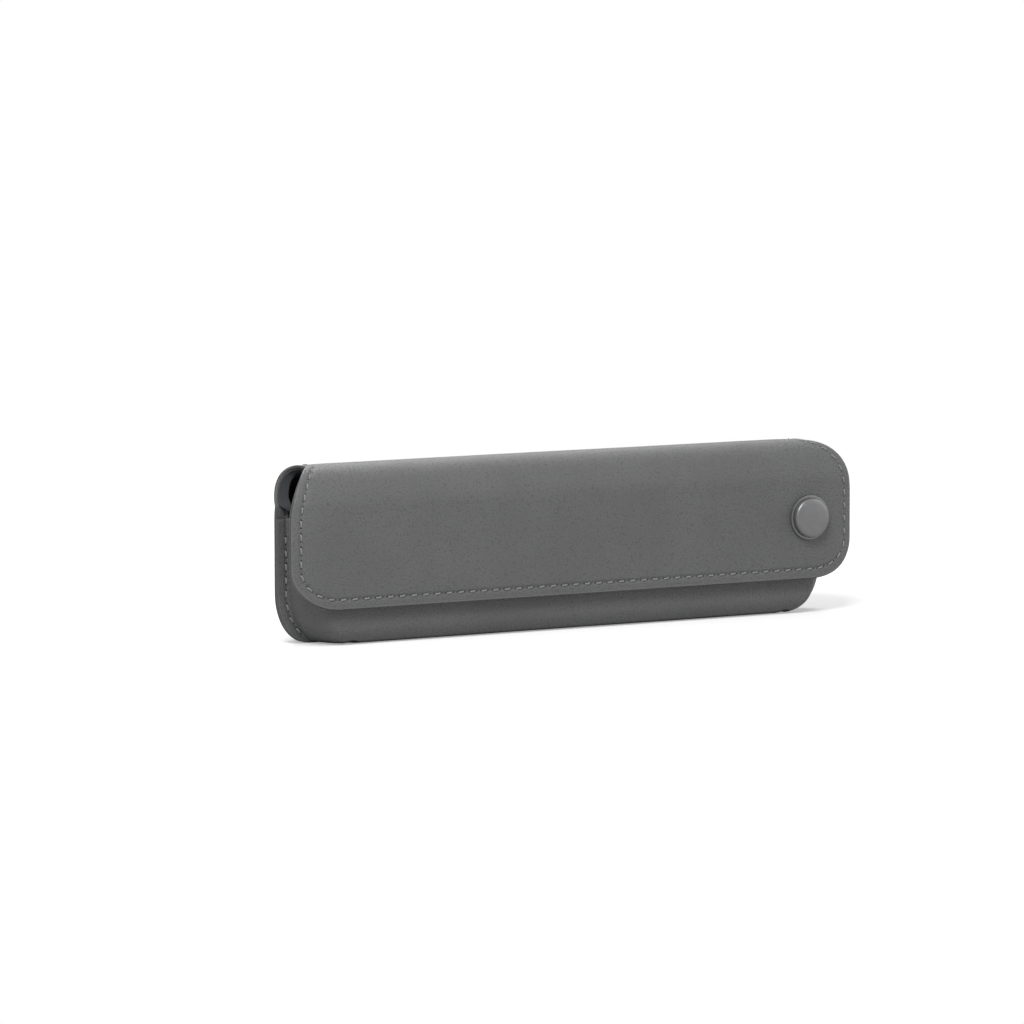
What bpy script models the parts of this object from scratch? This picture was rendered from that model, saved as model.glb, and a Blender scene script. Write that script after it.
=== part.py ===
"""Travel case for an electric toothbrush: a flap pouch of stitched sheet leather.

One outer sheet makes the front, the base and the back. It runs on over the top as the fold and
hangs in front as the flap, which a snap holds shut. Metres, +X along the case, the front looks
along -Y, +Z is up, and the case stands on its base at z = 0.
"""

import math

import bmesh
import bpy
from mathutils import Matrix, Vector

# Overall sizes
POUCH_LENGTH = 0.2394
POUCH_DEPTH = 0.034
CASE_HEIGHT = 0.0663
MOUTH_DROP = 0.0193
FLAP_OVERHANG = 0.0033
FLAP_DROP = 0.0523

# Bends of the outer sheet, seen from the end
BASE_RADIUS = 0.007
FOLD_RADIUS = 0.015

# Corners of the sheet, seen from the front: run along the case and rise up it
BASE_CORNER_RUN = 0.013
BASE_CORNER_RISE = 0.019
TOP_CORNER_RUN = 0.013
TOP_CORNER_RISE = 0.020
FLAP_CORNER_RUN = 0.019
FLAP_CORNER_RISE = 0.015

# Pinched ends
SEAM_WIDTH = 0.005
SEAM_SLOT = 0.0003
END_SWELL = 0.008
DRAW_SHARE = 0.4
FLAP_CURL = 0.003
FLAP_CURL_RUN = 0.012

# Layers
LEATHER = 0.0012
BOARD = 0.0010
LINING = 0.0006
TAPE = 0.0004
FIT_GAP = 0.0003
FLAP_GAP = 0.0016
LINING_SETBACK = 0.0008
LINING_END_SETBACK = 0.0018

# Boards
BOARD_EDGE = 0.0035
BOARD_CORNER = 0.006

# Mouth binding
BINDING_HEIGHT = 0.0045

# Thread
STITCH_PITCH = 0.0050
STITCH_LENGTH = 0.0026
STITCH_WIDTH = 0.0007
STITCH_HEIGHT = 0.0003
STITCH_DIP = 0.0003
THREAD_CROWN_SHARE = 0.6
STITCH_INSET = 0.0037

# Vents in the base's front edge, their middle lifted up the bend
VENT_FROM_END = 0.0244
VENT_LIFT = 0.0010
VENT_RADIUS = 0.0039
VENT_BORE = 0.0024
VENT_RECESS = 0.0002
WASHER_RADIUS = 0.0039
WASHER_THICKNESS = 0.0006

# Snap
SNAP_FROM_END = 0.0210
SNAP_BELOW_MOUTH = 0.0093
CAP_RADIUS = 0.00775
CAP_HEIGHT = 0.0022
CAP_WALL = 0.0007
CAP_ROUND = 0.0007
CAP_CROWN = 0.00025
COLLAR_RADIUS = 0.0086
COLLAR_WIDTH = 0.0028
COLLAR_HEIGHT = 0.0006
STUD_FLANGE_RADIUS = 0.0045
STUD_FLANGE = 0.0005
STUD_HEAD_RADIUS = 0.0020
STUD_NECK_RADIUS = 0.0016
STUD_HEIGHT = 0.0030
STUD_WALL = 0.0006
RIVET_RADIUS = 0.0032
RIVET_HEAD = 0.0008
SOCKET_WALL = 0.0008
SOCKET_FLANGE = 0.0014
SOCKET_ROOF = 0.0004
SPRING_WIRE = 0.0002

# Elastic loops
ELASTIC = 0.0010
LOOP_FOOT = 0.0045
LOOP_HEIGHT_SHARE = 0.555
HANDLE_LOOP_WIDTH = 0.020
HANDLE_LOOP_REACH = 0.0215
HANDLE_LOOP_GRIP_SHARE = 0.255
HANDLE_LOOP_LEFT_SHARE = -0.276
HANDLE_LOOP_RIGHT_SHARE = 0.025
HEAD_LOOP_WIDTH = 0.012
HEAD_LOOP_REACH = 0.013
HEAD_LOOP_GRIP_SHARE = 0.16
HEAD_LOOP_SHARE = 0.284
TACK_END = 0.0015

# Cuts and facets
OVERRUN = 0.0010
MERGE = 0.000001
ROUND_STEPS = 28
SMALL_STEPS = 18
VENT_STEPS = 3
SPRING_STEPS = 6
CAP_ROUND_STEPS = 3
WALL_STEPS = 2
BACK_WALL_STEPS = 3
CORNER_STEPS = 4
BEND_STEPS = 6
SWELL_STEPS = 6
FOLD_STEPS = 9
FLAP_CORNER_STEPS = 9
FLAP_WALL_STEPS = 3
CURL_STEPS = 4
BINDING_STEPS = 8
LOOP_STEPS = 14
RUN_SAMPLES = 240
SEAM_END_ANGLE = 75

# Sizes that follow from those above
HALF_DEPTH = POUCH_DEPTH / 2
MOUTH_HEIGHT = CASE_HEIGHT - MOUTH_DROP
SEAM_HALF = LEATHER + SEAM_SLOT / 2
BOARD_TOP = LEATHER + FIT_GAP
LINING_TOP = BOARD_TOP + BOARD + FIT_GAP
LINING_END = LINING_TOP + LINING
FLAP_LINING_TOP = LEATHER + FIT_GAP
FLAP_LINING_END = FLAP_LINING_TOP + LINING
FLAP_FACE = HALF_DEPTH + FLAP_GAP + FLAP_LINING_END
HINGE_HEIGHT = CASE_HEIGHT - FOLD_RADIUS
FOLD_HALF = (HALF_DEPTH + FLAP_FACE) / 2
FLAP_BOTTOM = CASE_HEIGHT - FLAP_DROP
POUCH_HALF = POUCH_LENGTH / 2
FLAP_HALF = POUCH_HALF + FLAP_OVERHANG
BASE_HALF = HALF_DEPTH - BASE_RADIUS
BASE_BEND = BASE_RADIUS * math.pi / 2
FLAT_INSET = SEAM_WIDTH + END_SWELL + DRAW_SHARE * LINING_END
SNAP_X = FLAP_HALF - SNAP_FROM_END
SNAP_Z = MOUTH_HEIGHT - SNAP_BELOW_MOUTH
LOOP_HEIGHT = MOUTH_HEIGHT * LOOP_HEIGHT_SHARE
VENT_X = POUCH_HALF - VENT_FROM_END
STUD_BASE = HALF_DEPTH + FIT_GAP
STUD_TIP = STUD_BASE + STUD_HEIGHT
SOCKET_BORE = STUD_HEAD_RADIUS + FIT_GAP
SOCKET_RADIUS = SOCKET_BORE + SOCKET_WALL
LEATHER_HOLE = SOCKET_RADIUS + FIT_GAP
POST_RADIUS = STUD_NECK_RADIUS - STUD_WALL - FIT_GAP
SPRING_PLACE = STUD_TIP - STUD_WALL - FIT_GAP
BUTTON_FACE = FLAP_FACE + FIT_GAP + COLLAR_HEIGHT + FIT_GAP + CAP_HEIGHT
CENTRE_Y = (BUTTON_FACE - HALF_DEPTH) / 2

LEATHER_GREY = ("leather", (0.110, 0.113, 0.120, 1.0), 0.55, 0.0)
BOARD_GREY = ("greyboard", (0.300, 0.285, 0.255, 1.0), 0.90, 0.0)
LINING_GREY = ("lining", (0.045, 0.047, 0.052, 1.0), 0.85, 0.0)
THREAD_GREY = ("thread", (0.205, 0.208, 0.215, 1.0), 0.60, 0.0)
VENT_DARK = ("vent_metal", (0.060, 0.061, 0.065, 1.0), 0.40, 0.8)
SNAP_GREY = ("snap_metal", (0.170, 0.173, 0.180, 1.0), 0.35, 0.6)
STEEL = ("bright_metal", (0.560, 0.560, 0.570, 1.0), 0.30, 1.0)
ELASTIC_BLACK = ("elastic", (0.020, 0.020, 0.022, 1.0), 0.80, 0.0)


def clear_scene():
    """Remove whatever the scene holds."""
    for thing in list(bpy.data.objects):
        bpy.data.objects.remove(thing, do_unlink=True)


def material(finish):
    """The named finish, made once."""
    name, colour, roughness, metallic = finish
    made = bpy.data.materials.get(name)
    if made is None:
        made = bpy.data.materials.new(name)
        made.use_nodes = True
        shader = made.node_tree.nodes["Principled BSDF"]
        shader.inputs["Base Color"].default_value = colour
        shader.inputs["Roughness"].default_value = roughness
        shader.inputs["Metallic"].default_value = metallic
    return made


def make_object(name, mesh, finish, parent, smooth=True):
    """Turn a bmesh in case coordinates into the named object, carried by its parent."""
    bmesh.ops.recalc_face_normals(mesh, faces=mesh.faces)
    data = bpy.data.meshes.new(name)
    shift = Matrix.Translation((0, CENTRE_Y, 0))
    origin = parent.matrix_world if parent else Matrix()
    mesh.transform(origin.inverted() @ shift)
    mesh.to_mesh(data)
    mesh.free()
    if smooth:
        data.shade_smooth()
        data.set_sharp_from_angle(angle=math.radians(35))
    data.materials.append(material(finish))
    thing = bpy.data.objects.new(name, data)
    bpy.context.scene.collection.objects.link(thing)
    thing.parent = parent
    return thing


def hinge_empty(name, y, z, parent):
    """An empty on a fold line of the sheet, which carries all that turns about it."""
    empty = bpy.data.objects.new(name, None)
    bpy.context.scene.collection.objects.link(empty)
    place = Vector((0, y + CENTRE_Y, z))
    if parent:
        empty.parent = parent
        place = place - parent.matrix_world.translation
    empty.location = place
    bpy.context.view_layer.update()
    return empty


def cut(target, meshes, parent=None):
    """Cut closed shapes out of an object."""
    whole = bmesh.new()
    for mesh in meshes:
        part = bpy.data.meshes.new("cutter_part")
        mesh.to_mesh(part)
        mesh.free()
        whole.from_mesh(part)
        bpy.data.meshes.remove(part)
    cutter = make_object("cut_" + target.name, whole, STEEL, parent)
    cutter.hide_render = True
    cutter.display_type = "WIRE"
    change = target.modifiers.new("cut " + cutter.name, "BOOLEAN")
    change.operation = "DIFFERENCE"
    change.solver = "EXACT"
    change.object = cutter


# Outlines, seen from the front

def corner_inset(distance, rise, run):
    """How far an outline is drawn in, at a distance from the edge that its corner rounds into."""
    if distance >= rise:
        return 0.0
    share = 1 - max(distance, 0) / rise
    return run * (1 - math.sqrt(1 - share * share))


def pouch_half(z):
    """Half length of the pouch at a height."""
    base = corner_inset(z, BASE_CORNER_RISE, BASE_CORNER_RUN)
    top_run = TOP_CORNER_RUN - FLAP_OVERHANG
    top = corner_inset(CASE_HEIGHT - z, TOP_CORNER_RISE, top_run)
    return POUCH_HALF - base - top


def flap_half(z):
    """Half length of the flap at a height."""
    base = corner_inset(z - FLAP_BOTTOM, FLAP_CORNER_RISE, FLAP_CORNER_RUN)
    top = corner_inset(CASE_HEIGHT - z, TOP_CORNER_RISE, TOP_CORNER_RUN)
    return FLAP_HALF - base - top


# Depth of the case at a place, measured from the plane of the side seams

def swell(x, half):
    """Share of its full depth that a sheet of a half length has at x: none on the seam."""
    share = min(max((half - abs(x) - SEAM_WIDTH) / END_SWELL, 0), 1)
    return 1 - (1 - share) ** 2


def drawn_in(x, half, depth):
    """Where a place at x ends up along the case: deeper layers lie further from a pinched end."""
    inside = half - abs(x)
    rising = inside / SEAM_WIDTH
    falling = 1 - (inside - SEAM_WIDTH - END_SWELL) / END_SWELL
    share = max(min(rising, falling, 1), 0)
    return x - math.copysign(DRAW_SHARE * depth * share, x)


def wall_reach(x, half, depth):
    """Distance of the wall from the seam plane, at a depth below the outer face."""
    return SEAM_HALF - depth + (HALF_DEPTH - SEAM_HALF) * swell(x, half)


def flap_reach(x, depth):
    """The same for the flap, which stays flat but for its curled ends."""
    share = max(abs(x) - FLAP_HALF + FLAP_CURL_RUN, 0) / FLAP_CURL_RUN
    return FLAP_FACE - depth - FLAP_CURL * share ** 2


# Paths of the sheet, seen from the end: each stretch gives y and z for a share and a depth

def straight(start, end, outward):
    """A straight stretch of the sheet."""
    def point(share, depth):
        y = start[0] + (end[0] - start[0]) * share - outward[0] * depth
        z = start[1] + (end[1] - start[1]) * share - outward[1] * depth
        return y, z
    return math.dist(start, end), point


def bend(centre, radius, first, last):
    """A round stretch of the sheet, from the first angle to the last in degrees."""
    def point(share, depth):
        angle = math.radians(first + (last - first) * share)
        reach = radius - depth
        return centre[0] + reach * math.cos(angle), centre[1] + reach * math.sin(angle)
    return radius * math.radians(abs(last - first)), point


def at(path, s, depth):
    """The point of a path at the length s along its outer face."""
    for length, point in path[:-1]:
        if s <= length:
            return point(s / length, depth)
        s -= length
    length, point = path[-1]
    return point(s / length, depth)


def path_length(path):
    """Length of a path along its outer face."""
    return sum(length for length, point in path)


POUCH_PATH = [
    straight((-HALF_DEPTH, MOUTH_HEIGHT), (-HALF_DEPTH, BASE_RADIUS), (-1, 0)),
    bend((-BASE_HALF, BASE_RADIUS), BASE_RADIUS, 180, 270),
    straight((-BASE_HALF, 0), (BASE_HALF, 0), (0, -1)),
    bend((BASE_HALF, BASE_RADIUS), BASE_RADIUS, 270, 360),
    straight((HALF_DEPTH, BASE_RADIUS), (HALF_DEPTH, HINGE_HEIGHT), (1, 0)),
]
FOLD_FLAT = FOLD_HALF - FOLD_RADIUS
FOLD_PATH = [
    bend((FOLD_FLAT, HINGE_HEIGHT), FOLD_RADIUS, 0, 90),
    straight((FOLD_FLAT, CASE_HEIGHT), (-FOLD_FLAT, CASE_HEIGHT), (0, 1)),
    bend((-FOLD_FLAT, HINGE_HEIGHT), FOLD_RADIUS, 90, 180),
]
FOLD_LENGTH = path_length(FOLD_PATH)
POUCH_SHEET_LENGTH = path_length(POUCH_PATH)
FRONT_HEIGHT = MOUTH_HEIGHT - BASE_RADIUS
BASE_START = FRONT_HEIGHT + BASE_BEND
BASE_END = BASE_START + 2 * BASE_HALF
BACK_START = BASE_END + BASE_BEND
FLAP_LENGTH = HINGE_HEIGHT - FLAP_BOTTOM


# Forms: a place x, s on the flat sheet and a depth below its outer face become a point

def pouch_form(x, s, depth):
    """Front, base and back of the pouch; s runs from the mouth's front edge."""
    half = pouch_outline(s)
    y, z = at(POUCH_PATH, s, depth)
    y *= wall_reach(x, half, depth) / (HALF_DEPTH - depth)
    return Vector((drawn_in(x, half, depth), y, z))


def fold_form(x, s, depth):
    """The fold over the top; s runs from the back to the front."""
    half = fold_outline(s)
    y, z = at(FOLD_PATH, s, depth)
    pinch = max(1 - 2 * s / FOLD_LENGTH, 0)
    back = HALF_DEPTH - depth
    back += (wall_reach(x, half, depth) - back) * pinch
    front = -flap_reach(x, depth)
    share = y / (FOLD_HALF - depth)
    y = (back + front) / 2 + share * (back - front) / 2
    return Vector((drawn_in(x, half, depth * pinch), y, z))


def flap_form(x, s, depth):
    """The flap in front; s runs down from the fold."""
    return Vector((x, -flap_reach(x, depth), HINGE_HEIGHT - s))


def pouch_outline(s):
    """Half length of the pouch's sheet at s."""
    return pouch_half(at(POUCH_PATH, s, 0)[1])


def fold_outline(s):
    """Half length of the fold at s: as the pouch behind, as the flap in front."""
    z = at(FOLD_PATH, s, 0)[1]
    return pouch_half(z) if s < FOLD_LENGTH / 2 else flap_half(z)


def flap_outline(s):
    """Half length of the flap at s."""
    return flap_half(HINGE_HEIGHT - s)


# Formed panels

def formed_panel(rows, insets, outline, depths, form):
    """A blank cut to an outline, as thick as the two depths say, laid over a form.

    The blank has a line of points at each row. On a row they lie at each inset from both ends.
    """
    mesh = bmesh.new()
    columns = 2 * len(insets)
    bmesh.ops.create_grid(mesh, x_segments=columns - 1, y_segments=len(rows) - 1, size=1)
    bmesh.ops.triangulate(mesh, faces=mesh.faces[:], quad_method="FIXED")
    raised = bmesh.ops.extrude_face_region(mesh, geom=mesh.faces[:])
    top = {v for v in raised["geom"] if isinstance(v, bmesh.types.BMVert)}
    for vert in mesh.verts:
        column = round((vert.co.x + 1) / 2 * (columns - 1))
        s = rows[round((vert.co.y + 1) / 2 * (len(rows) - 1))]
        if column < len(insets):
            x = insets[column] - outline(s)
        else:
            x = outline(s) - insets[columns - 1 - column]
        vert.co = form(x, s, depths[1] if vert in top else depths[0])
    return mesh


def spread(first, last, steps):
    """Evenly spaced values from the first to the last."""
    return [first + (last - first) * step / steps for step in range(steps + 1)]


def rounded(first, last, steps):
    """Values from the first to the last, closer together at the first, as round a corner."""
    turn = math.pi / 2 / steps
    return [first + (last - first) * (1 - math.cos(turn * step)) for step in range(steps + 1)]


def joined(*runs):
    """Runs of values in one rising list, each value once."""
    values = []
    for value in sorted(v for run in runs for v in run):
        if not values or value - values[-1] > MERGE:
            values.append(value)
    return values


def swell_insets(first):
    """Insets from the end of a sheet that follow the pinched end, from a first one on."""
    places = [0, *spread(SEAM_WIDTH, SEAM_WIDTH + END_SWELL, SWELL_STEPS), FLAT_INSET]
    return joined([first], [place for place in places if place > first])


def pouch_rows(first, last):
    """Rows of the sheet round the pouch, close together in the bends and the corners."""
    front_corner = MOUTH_HEIGHT - BASE_CORNER_RISE
    back_corner = BACK_START + BASE_CORNER_RISE - BASE_RADIUS
    rows = joined(
        spread(0, front_corner, WALL_STEPS),
        spread(front_corner, FRONT_HEIGHT, CORNER_STEPS),
        spread(FRONT_HEIGHT, BASE_START, BEND_STEPS),
        spread(BASE_START, BASE_END, WALL_STEPS),
        spread(BASE_END, BACK_START, BEND_STEPS),
        spread(BACK_START, back_corner, CORNER_STEPS),
        spread(back_corner, POUCH_SHEET_LENGTH, BACK_WALL_STEPS),
    )
    inner = [row for row in rows if first + MERGE < row < last - MERGE]
    return [first, *inner, last]


def build_pouch_sheet():
    """The outer sheet of the pouch: front, base and back."""
    rows = pouch_rows(0, POUCH_SHEET_LENGTH - FIT_GAP / 2)
    mesh = formed_panel(rows, swell_insets(0), pouch_outline, (0, LEATHER), pouch_form)
    return make_object("pouch_leather", mesh, LEATHER_GREY, None)


def build_pouch_lining():
    """The lining inside, set back from the mouth and from the side seams."""
    setback = SEAM_WIDTH + LINING_END_SETBACK
    rows = pouch_rows(0, POUCH_SHEET_LENGTH - LINING_SETBACK)
    depths = (LINING_TOP, LINING_END)
    mesh = formed_panel(rows, swell_insets(setback), pouch_outline, depths, pouch_form)
    return make_object("pouch_lining", mesh, LINING_GREY, None)


def build_board(name, first, last, end_setback):
    """A stiffener with round corners, between two places along the sheet."""
    corner = min(BOARD_CORNER, (last - first) / 2)

    def outline(s):
        rounding = corner_inset(min(s - first, last - s), corner, corner)
        return pouch_outline(s) - end_setback - rounding

    rows = joined(
        rounded(first, first + corner, CORNER_STEPS), rounded(last, last - corner, CORNER_STEPS))
    mesh = formed_panel(rows, [0, corner], outline, (BOARD_TOP, BOARD_TOP + BOARD), pouch_form)
    return make_object(name, mesh, BOARD_GREY, None)


def build_binding():
    """The tape folded over the front panel's top edge."""
    outside = HALF_DEPTH + FIT_GAP + TAPE
    inside = HALF_DEPTH - LINING_END - FIT_GAP - TAPE
    radius = (outside - inside) / 2
    middle = (outside + inside) / 2
    foot = MOUTH_HEIGHT - BINDING_HEIGHT
    path = [
        straight((-outside, foot), (-outside, MOUTH_HEIGHT), (-1, 0)),
        bend((-middle, MOUTH_HEIGHT), radius, 180, 0),
        straight((-inside, MOUTH_HEIGHT), (-inside, foot), (1, 0)),
    ]

    def form(x, s, depth):
        y, z = at(path, s, depth)
        return Vector((x, -wall_reach(x, pouch_half(MOUTH_HEIGHT), HALF_DEPTH + y), z))

    bend_length = radius * math.pi
    rows = joined(
        [0, BINDING_HEIGHT],
        spread(BINDING_HEIGHT, BINDING_HEIGHT + bend_length, BINDING_STEPS),
        [path_length(path)],
    )
    half_length = pouch_half(MOUTH_HEIGHT) - FLAT_INSET
    mesh = formed_panel(rows, [0, BINDING_HEIGHT], lambda s: half_length, (0, TAPE), form)
    return make_object("mouth_binding", mesh, LINING_GREY, None)


def build_fold(parent):
    """The fold over the top and its lining."""
    bend_length = FOLD_RADIUS * math.pi / 2
    front_bend = FOLD_LENGTH - bend_length
    rows = joined(
        spread(0, bend_length, FOLD_STEPS), spread(front_bend, FOLD_LENGTH, FOLD_STEPS))[1:-1]
    curl = spread(0, FLAP_CURL_RUN, CURL_STEPS)
    setback = FIT_GAP / 2
    leather = formed_panel(
        [setback, *rows, FOLD_LENGTH - setback], joined(swell_insets(0), curl), fold_outline,
        (0, LEATHER), fold_form)
    make_object("fold_leather", leather, LEATHER_GREY, parent)
    setback = LINING_SETBACK
    lining = formed_panel(
        [setback, *rows, FOLD_LENGTH - setback], joined(swell_insets(setback), curl[1:]),
        fold_outline, (FLAP_LINING_TOP, FLAP_LINING_END), fold_form)
    make_object("fold_lining", lining, LINING_GREY, parent)


def build_flap(parent):
    """The flap and its lining, with the hole for the snap in each."""
    curl = spread(0, FLAP_CURL_RUN, CURL_STEPS)
    corner = FLAP_LENGTH - FLAP_CORNER_RISE
    rows = joined(
        spread(0, corner, FLAP_WALL_STEPS), rounded(FLAP_LENGTH, corner, FLAP_CORNER_STEPS))[1:-1]
    leather = formed_panel(
        [FIT_GAP / 2, *rows, FLAP_LENGTH], curl, flap_outline, (0, LEATHER), flap_form)
    last = FLAP_LENGTH - LINING_SETBACK
    lining_rows = [row for row in rows if row < last - MERGE]
    lining = formed_panel(
        [LINING_SETBACK, *lining_rows, last], [LINING_SETBACK, *curl[1:]], flap_outline,
        (FLAP_LINING_TOP, FLAP_LINING_END), flap_form)
    for name, mesh, finish in (
            ("flap_leather", leather, LEATHER_GREY), ("flap_lining", lining, LINING_GREY)):
        hole = bar(LEATHER_HOLE, FLAP_FACE - FLAP_LINING_END - OVERRUN, FLAP_FACE + OVERRUN)
        cut(make_object(name, mesh, finish, parent), [hole], parent)


# Thread

def thread_ring(mesh, centre, along, outward, width, height):
    """Four points round a thread that lies on a sheet, flat below and narrower on top."""
    across = along.cross(outward).normalized() * width / 2
    low = centre + outward * FIT_GAP
    high = low + outward * height
    crown = across * THREAD_CROWN_SHARE
    points = (low - across, low + across, high + crown, high - crown)
    return [mesh.verts.new(point) for point in points]


def join_rings(mesh, rings):
    """Close a row of rings into one solid."""
    for ring, following in zip(rings, rings[1:]):
        for corner in range(len(ring)):
            after = (corner + 1) % len(ring)
            mesh.faces.new((ring[corner], ring[after], following[after], following[corner]))
    mesh.faces.new(rings[0][::-1])
    mesh.faces.new(rings[-1])


class Run:
    """A run of places on a sheet, measured along the formed sheet."""

    def __init__(self, places, form):
        self.places = places
        self.form = form
        self.points = [form(x, s, 0) for x, s in places]
        self.lengths = [0]
        for here, there in zip(self.points, self.points[1:]):
            self.lengths.append(self.lengths[-1] + (there - here).length)

    def frame(self, place):
        """The point at a length along the run, with the run's and the sheet's directions."""
        index = next(i for i, length in enumerate(self.lengths) if length >= place and i > 0)
        step = self.lengths[index] - self.lengths[index - 1]
        share = (place - self.lengths[index - 1]) / step
        (x0, s0), (x1, s1) = self.places[index - 1:index + 1]
        x = x0 + (x1 - x0) * share
        s = s0 + (s1 - s0) * share
        centre = self.form(x, s, 0)
        along = (self.points[index] - self.points[index - 1]).normalized()
        outward = self.form(x, s, -FIT_GAP) - centre
        outward = (outward - along * outward.dot(along)).normalized()
        return centre, along, outward


def stitched_thread(places, form):
    """One thread along a run: a raised stitch to each pitch, drawn thin where it dips between."""
    mesh = bmesh.new()
    run = Run(places, form)
    count = int(run.lengths[-1] / STITCH_PITCH)
    start = (run.lengths[-1] - (count - 1) * STITCH_PITCH) / 2
    rings = []
    for number in range(count):
        middle = start + number * STITCH_PITCH
        if number:
            place = run.frame(middle - STITCH_PITCH / 2)
            rings.append(thread_ring(mesh, *place, STITCH_DIP, STITCH_DIP / 2))
        for end in (-1, 1):
            place = run.frame(middle + end * STITCH_LENGTH / 2)
            rings.append(thread_ring(mesh, *place, STITCH_WIDTH, STITCH_HEIGHT))
    join_rings(mesh, rings)
    return mesh


def flap_run():
    """Places of the flap's stitch line: down the left end, along the bottom, up the right."""
    run = FLAP_CORNER_RUN - STITCH_INSET
    rise = FLAP_CORNER_RISE - STITCH_INSET
    corner = FLAP_LENGTH - FLAP_CORNER_RISE
    side = FLAP_HALF - FLAP_CORNER_RUN
    left = []
    for s in spread(STITCH_INSET / 2, corner, RUN_SAMPLES):
        left.append((STITCH_INSET - flap_outline(s), s))
    for step in range(1, RUN_SAMPLES + 1):
        angle = math.pi / 2 * step / RUN_SAMPLES
        left.append((-side - run * math.cos(angle), corner + rise * math.sin(angle)))
    bottom = [(x, corner + rise) for x in spread(-side, side, RUN_SAMPLES)]
    right = [(-x, s) for x, s in reversed(left)]
    return left + bottom[1:-1] + right


def fold_run(side):
    """Places of the stitch line over one end of the fold."""
    rows = spread(STITCH_INSET / 2, FOLD_LENGTH - STITCH_INSET / 2, RUN_SAMPLES)
    return [(side * (fold_outline(s) - STITCH_INSET), s) for s in rows]


def seam_run(side, face):
    """Places of a side seam's stitch line, on the front of the pouch or on its back."""
    run = BASE_CORNER_RUN - STITCH_INSET
    rise = BASE_CORNER_RISE - STITCH_INSET
    places = []
    for z in spread(MOUTH_HEIGHT - STITCH_INSET, BASE_CORNER_RISE, RUN_SAMPLES):
        places.append((pouch_half(z) - STITCH_INSET, z))
    for step in range(1, RUN_SAMPLES + 1):
        angle = math.radians(SEAM_END_ANGLE) * step / RUN_SAMPLES
        x = POUCH_HALF - BASE_CORNER_RUN + run * math.cos(angle)
        places.append((x, BASE_CORNER_RISE - rise * math.sin(angle)))
    wall = [(side * x, z) for x, z in places if z > BASE_RADIUS]
    if face == "front":
        return [(x, MOUTH_HEIGHT - z) for x, z in wall]
    return [(x, BACK_START + z - BASE_RADIUS) for x, z in wall]


def build_thread(name, run, form, parent):
    """The stitches of one run."""
    return make_object(name, stitched_thread(run, form), THREAD_GREY, parent, smooth=False)


def build_mouth_stitches():
    """The stitches through the mouth binding, on its outer face."""
    half = pouch_half(MOUTH_HEIGHT) - FLAT_INSET - STITCH_LENGTH
    s = BINDING_HEIGHT / 2
    run = [(x, s) for x in spread(-half, half, RUN_SAMPLES)]

    def form(x, s, depth):
        return pouch_form(x, s, depth - FIT_GAP - TAPE)

    return build_thread("mouth_stitches", run, form, None)


# Turned pieces, on an axis that points out of the front

def spun(profile, steps):
    """A profile of radius and height, turned about the Z axis."""
    mesh = bmesh.new()
    verts = [mesh.verts.new((radius, 0, height)) for radius, height in profile]
    edges = [mesh.edges.new(pair) for pair in zip(verts, verts[1:])]
    if profile[0][0] > 0 and profile[-1][0] > 0:
        edges.append(mesh.edges.new((verts[-1], verts[0])))
    bmesh.ops.spin(
        mesh, geom=verts + edges, cent=(0, 0, 0), axis=(0, 0, 1), angle=2 * math.pi,
        steps=steps, use_merge=True, use_duplicate=False)
    bmesh.ops.remove_doubles(mesh, verts=mesh.verts, dist=MERGE)
    return mesh


def turned(profile, steps):
    """A profile of radius and distance from the seam plane, turned about the snap's axis."""
    mesh = spun(profile, steps)
    mesh.transform(Matrix.Translation((SNAP_X, 0, SNAP_Z)) @ Matrix.Rotation(math.pi / 2, 4, "X"))
    return mesh


def ring_profile(inner, outer, low, high):
    """A plain ring."""
    return [(inner, low), (outer, low), (outer, high), (inner, high)]


def rounded_cap_profile(low, high):
    """The button: a cup with a rounded, slightly crowned face, open at the back."""
    flat = CAP_RADIUS - CAP_ROUND
    rim = high - CAP_CROWN
    roof = rim - CAP_WALL
    profile = [(0, high), (flat / 2, high - CAP_CROWN / 4)]
    for step in range(CAP_ROUND_STEPS + 1):
        angle = math.pi / 2 * (1 - step / CAP_ROUND_STEPS)
        fall = CAP_ROUND * (1 - math.sin(angle))
        profile.append((flat + CAP_ROUND * math.cos(angle), rim - fall))
    profile.append((CAP_RADIUS, low))
    profile.append((CAP_RADIUS - CAP_WALL, low))
    profile.append((CAP_RADIUS - CAP_WALL, roof))
    profile.append((0, roof))
    return profile


def build_stud():
    """The snap's male half: a flange on the leather and a head, hollow for its rivet."""
    flange = STUD_BASE + STUD_FLANGE
    head = STUD_TIP - 2 * (STUD_HEAD_RADIUS - STUD_NECK_RADIUS)
    bore = STUD_NECK_RADIUS - STUD_WALL
    profile = [
        (0, STUD_TIP),
        (STUD_NECK_RADIUS, STUD_TIP),
        (STUD_HEAD_RADIUS, (STUD_TIP + head) / 2),
        (STUD_NECK_RADIUS, head),
        (STUD_NECK_RADIUS, flange),
        (STUD_FLANGE_RADIUS, flange),
        (STUD_FLANGE_RADIUS, STUD_BASE),
        (bore, STUD_BASE),
        (bore, STUD_TIP - STUD_WALL),
        (0, STUD_TIP - STUD_WALL),
    ]
    return make_object("snap_stud", turned(profile, SMALL_STEPS), STEEL, None)


def build_rivet():
    """The disc inside the pouch, with the post that holds the stud."""
    seat = HALF_DEPTH - LINING_END - FIT_GAP
    tip = STUD_TIP - STUD_WALL - FIT_GAP
    profile = [
        (0, tip),
        (POST_RADIUS, tip),
        (POST_RADIUS, seat),
        (RIVET_RADIUS, seat),
        (RIVET_RADIUS, seat - RIVET_HEAD / 2),
        (RIVET_RADIUS - RIVET_HEAD / 2, seat - RIVET_HEAD),
        (0, seat - RIVET_HEAD),
    ]
    return make_object("snap_stud_rivet", turned(profile, SMALL_STEPS), STEEL, None)


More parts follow.
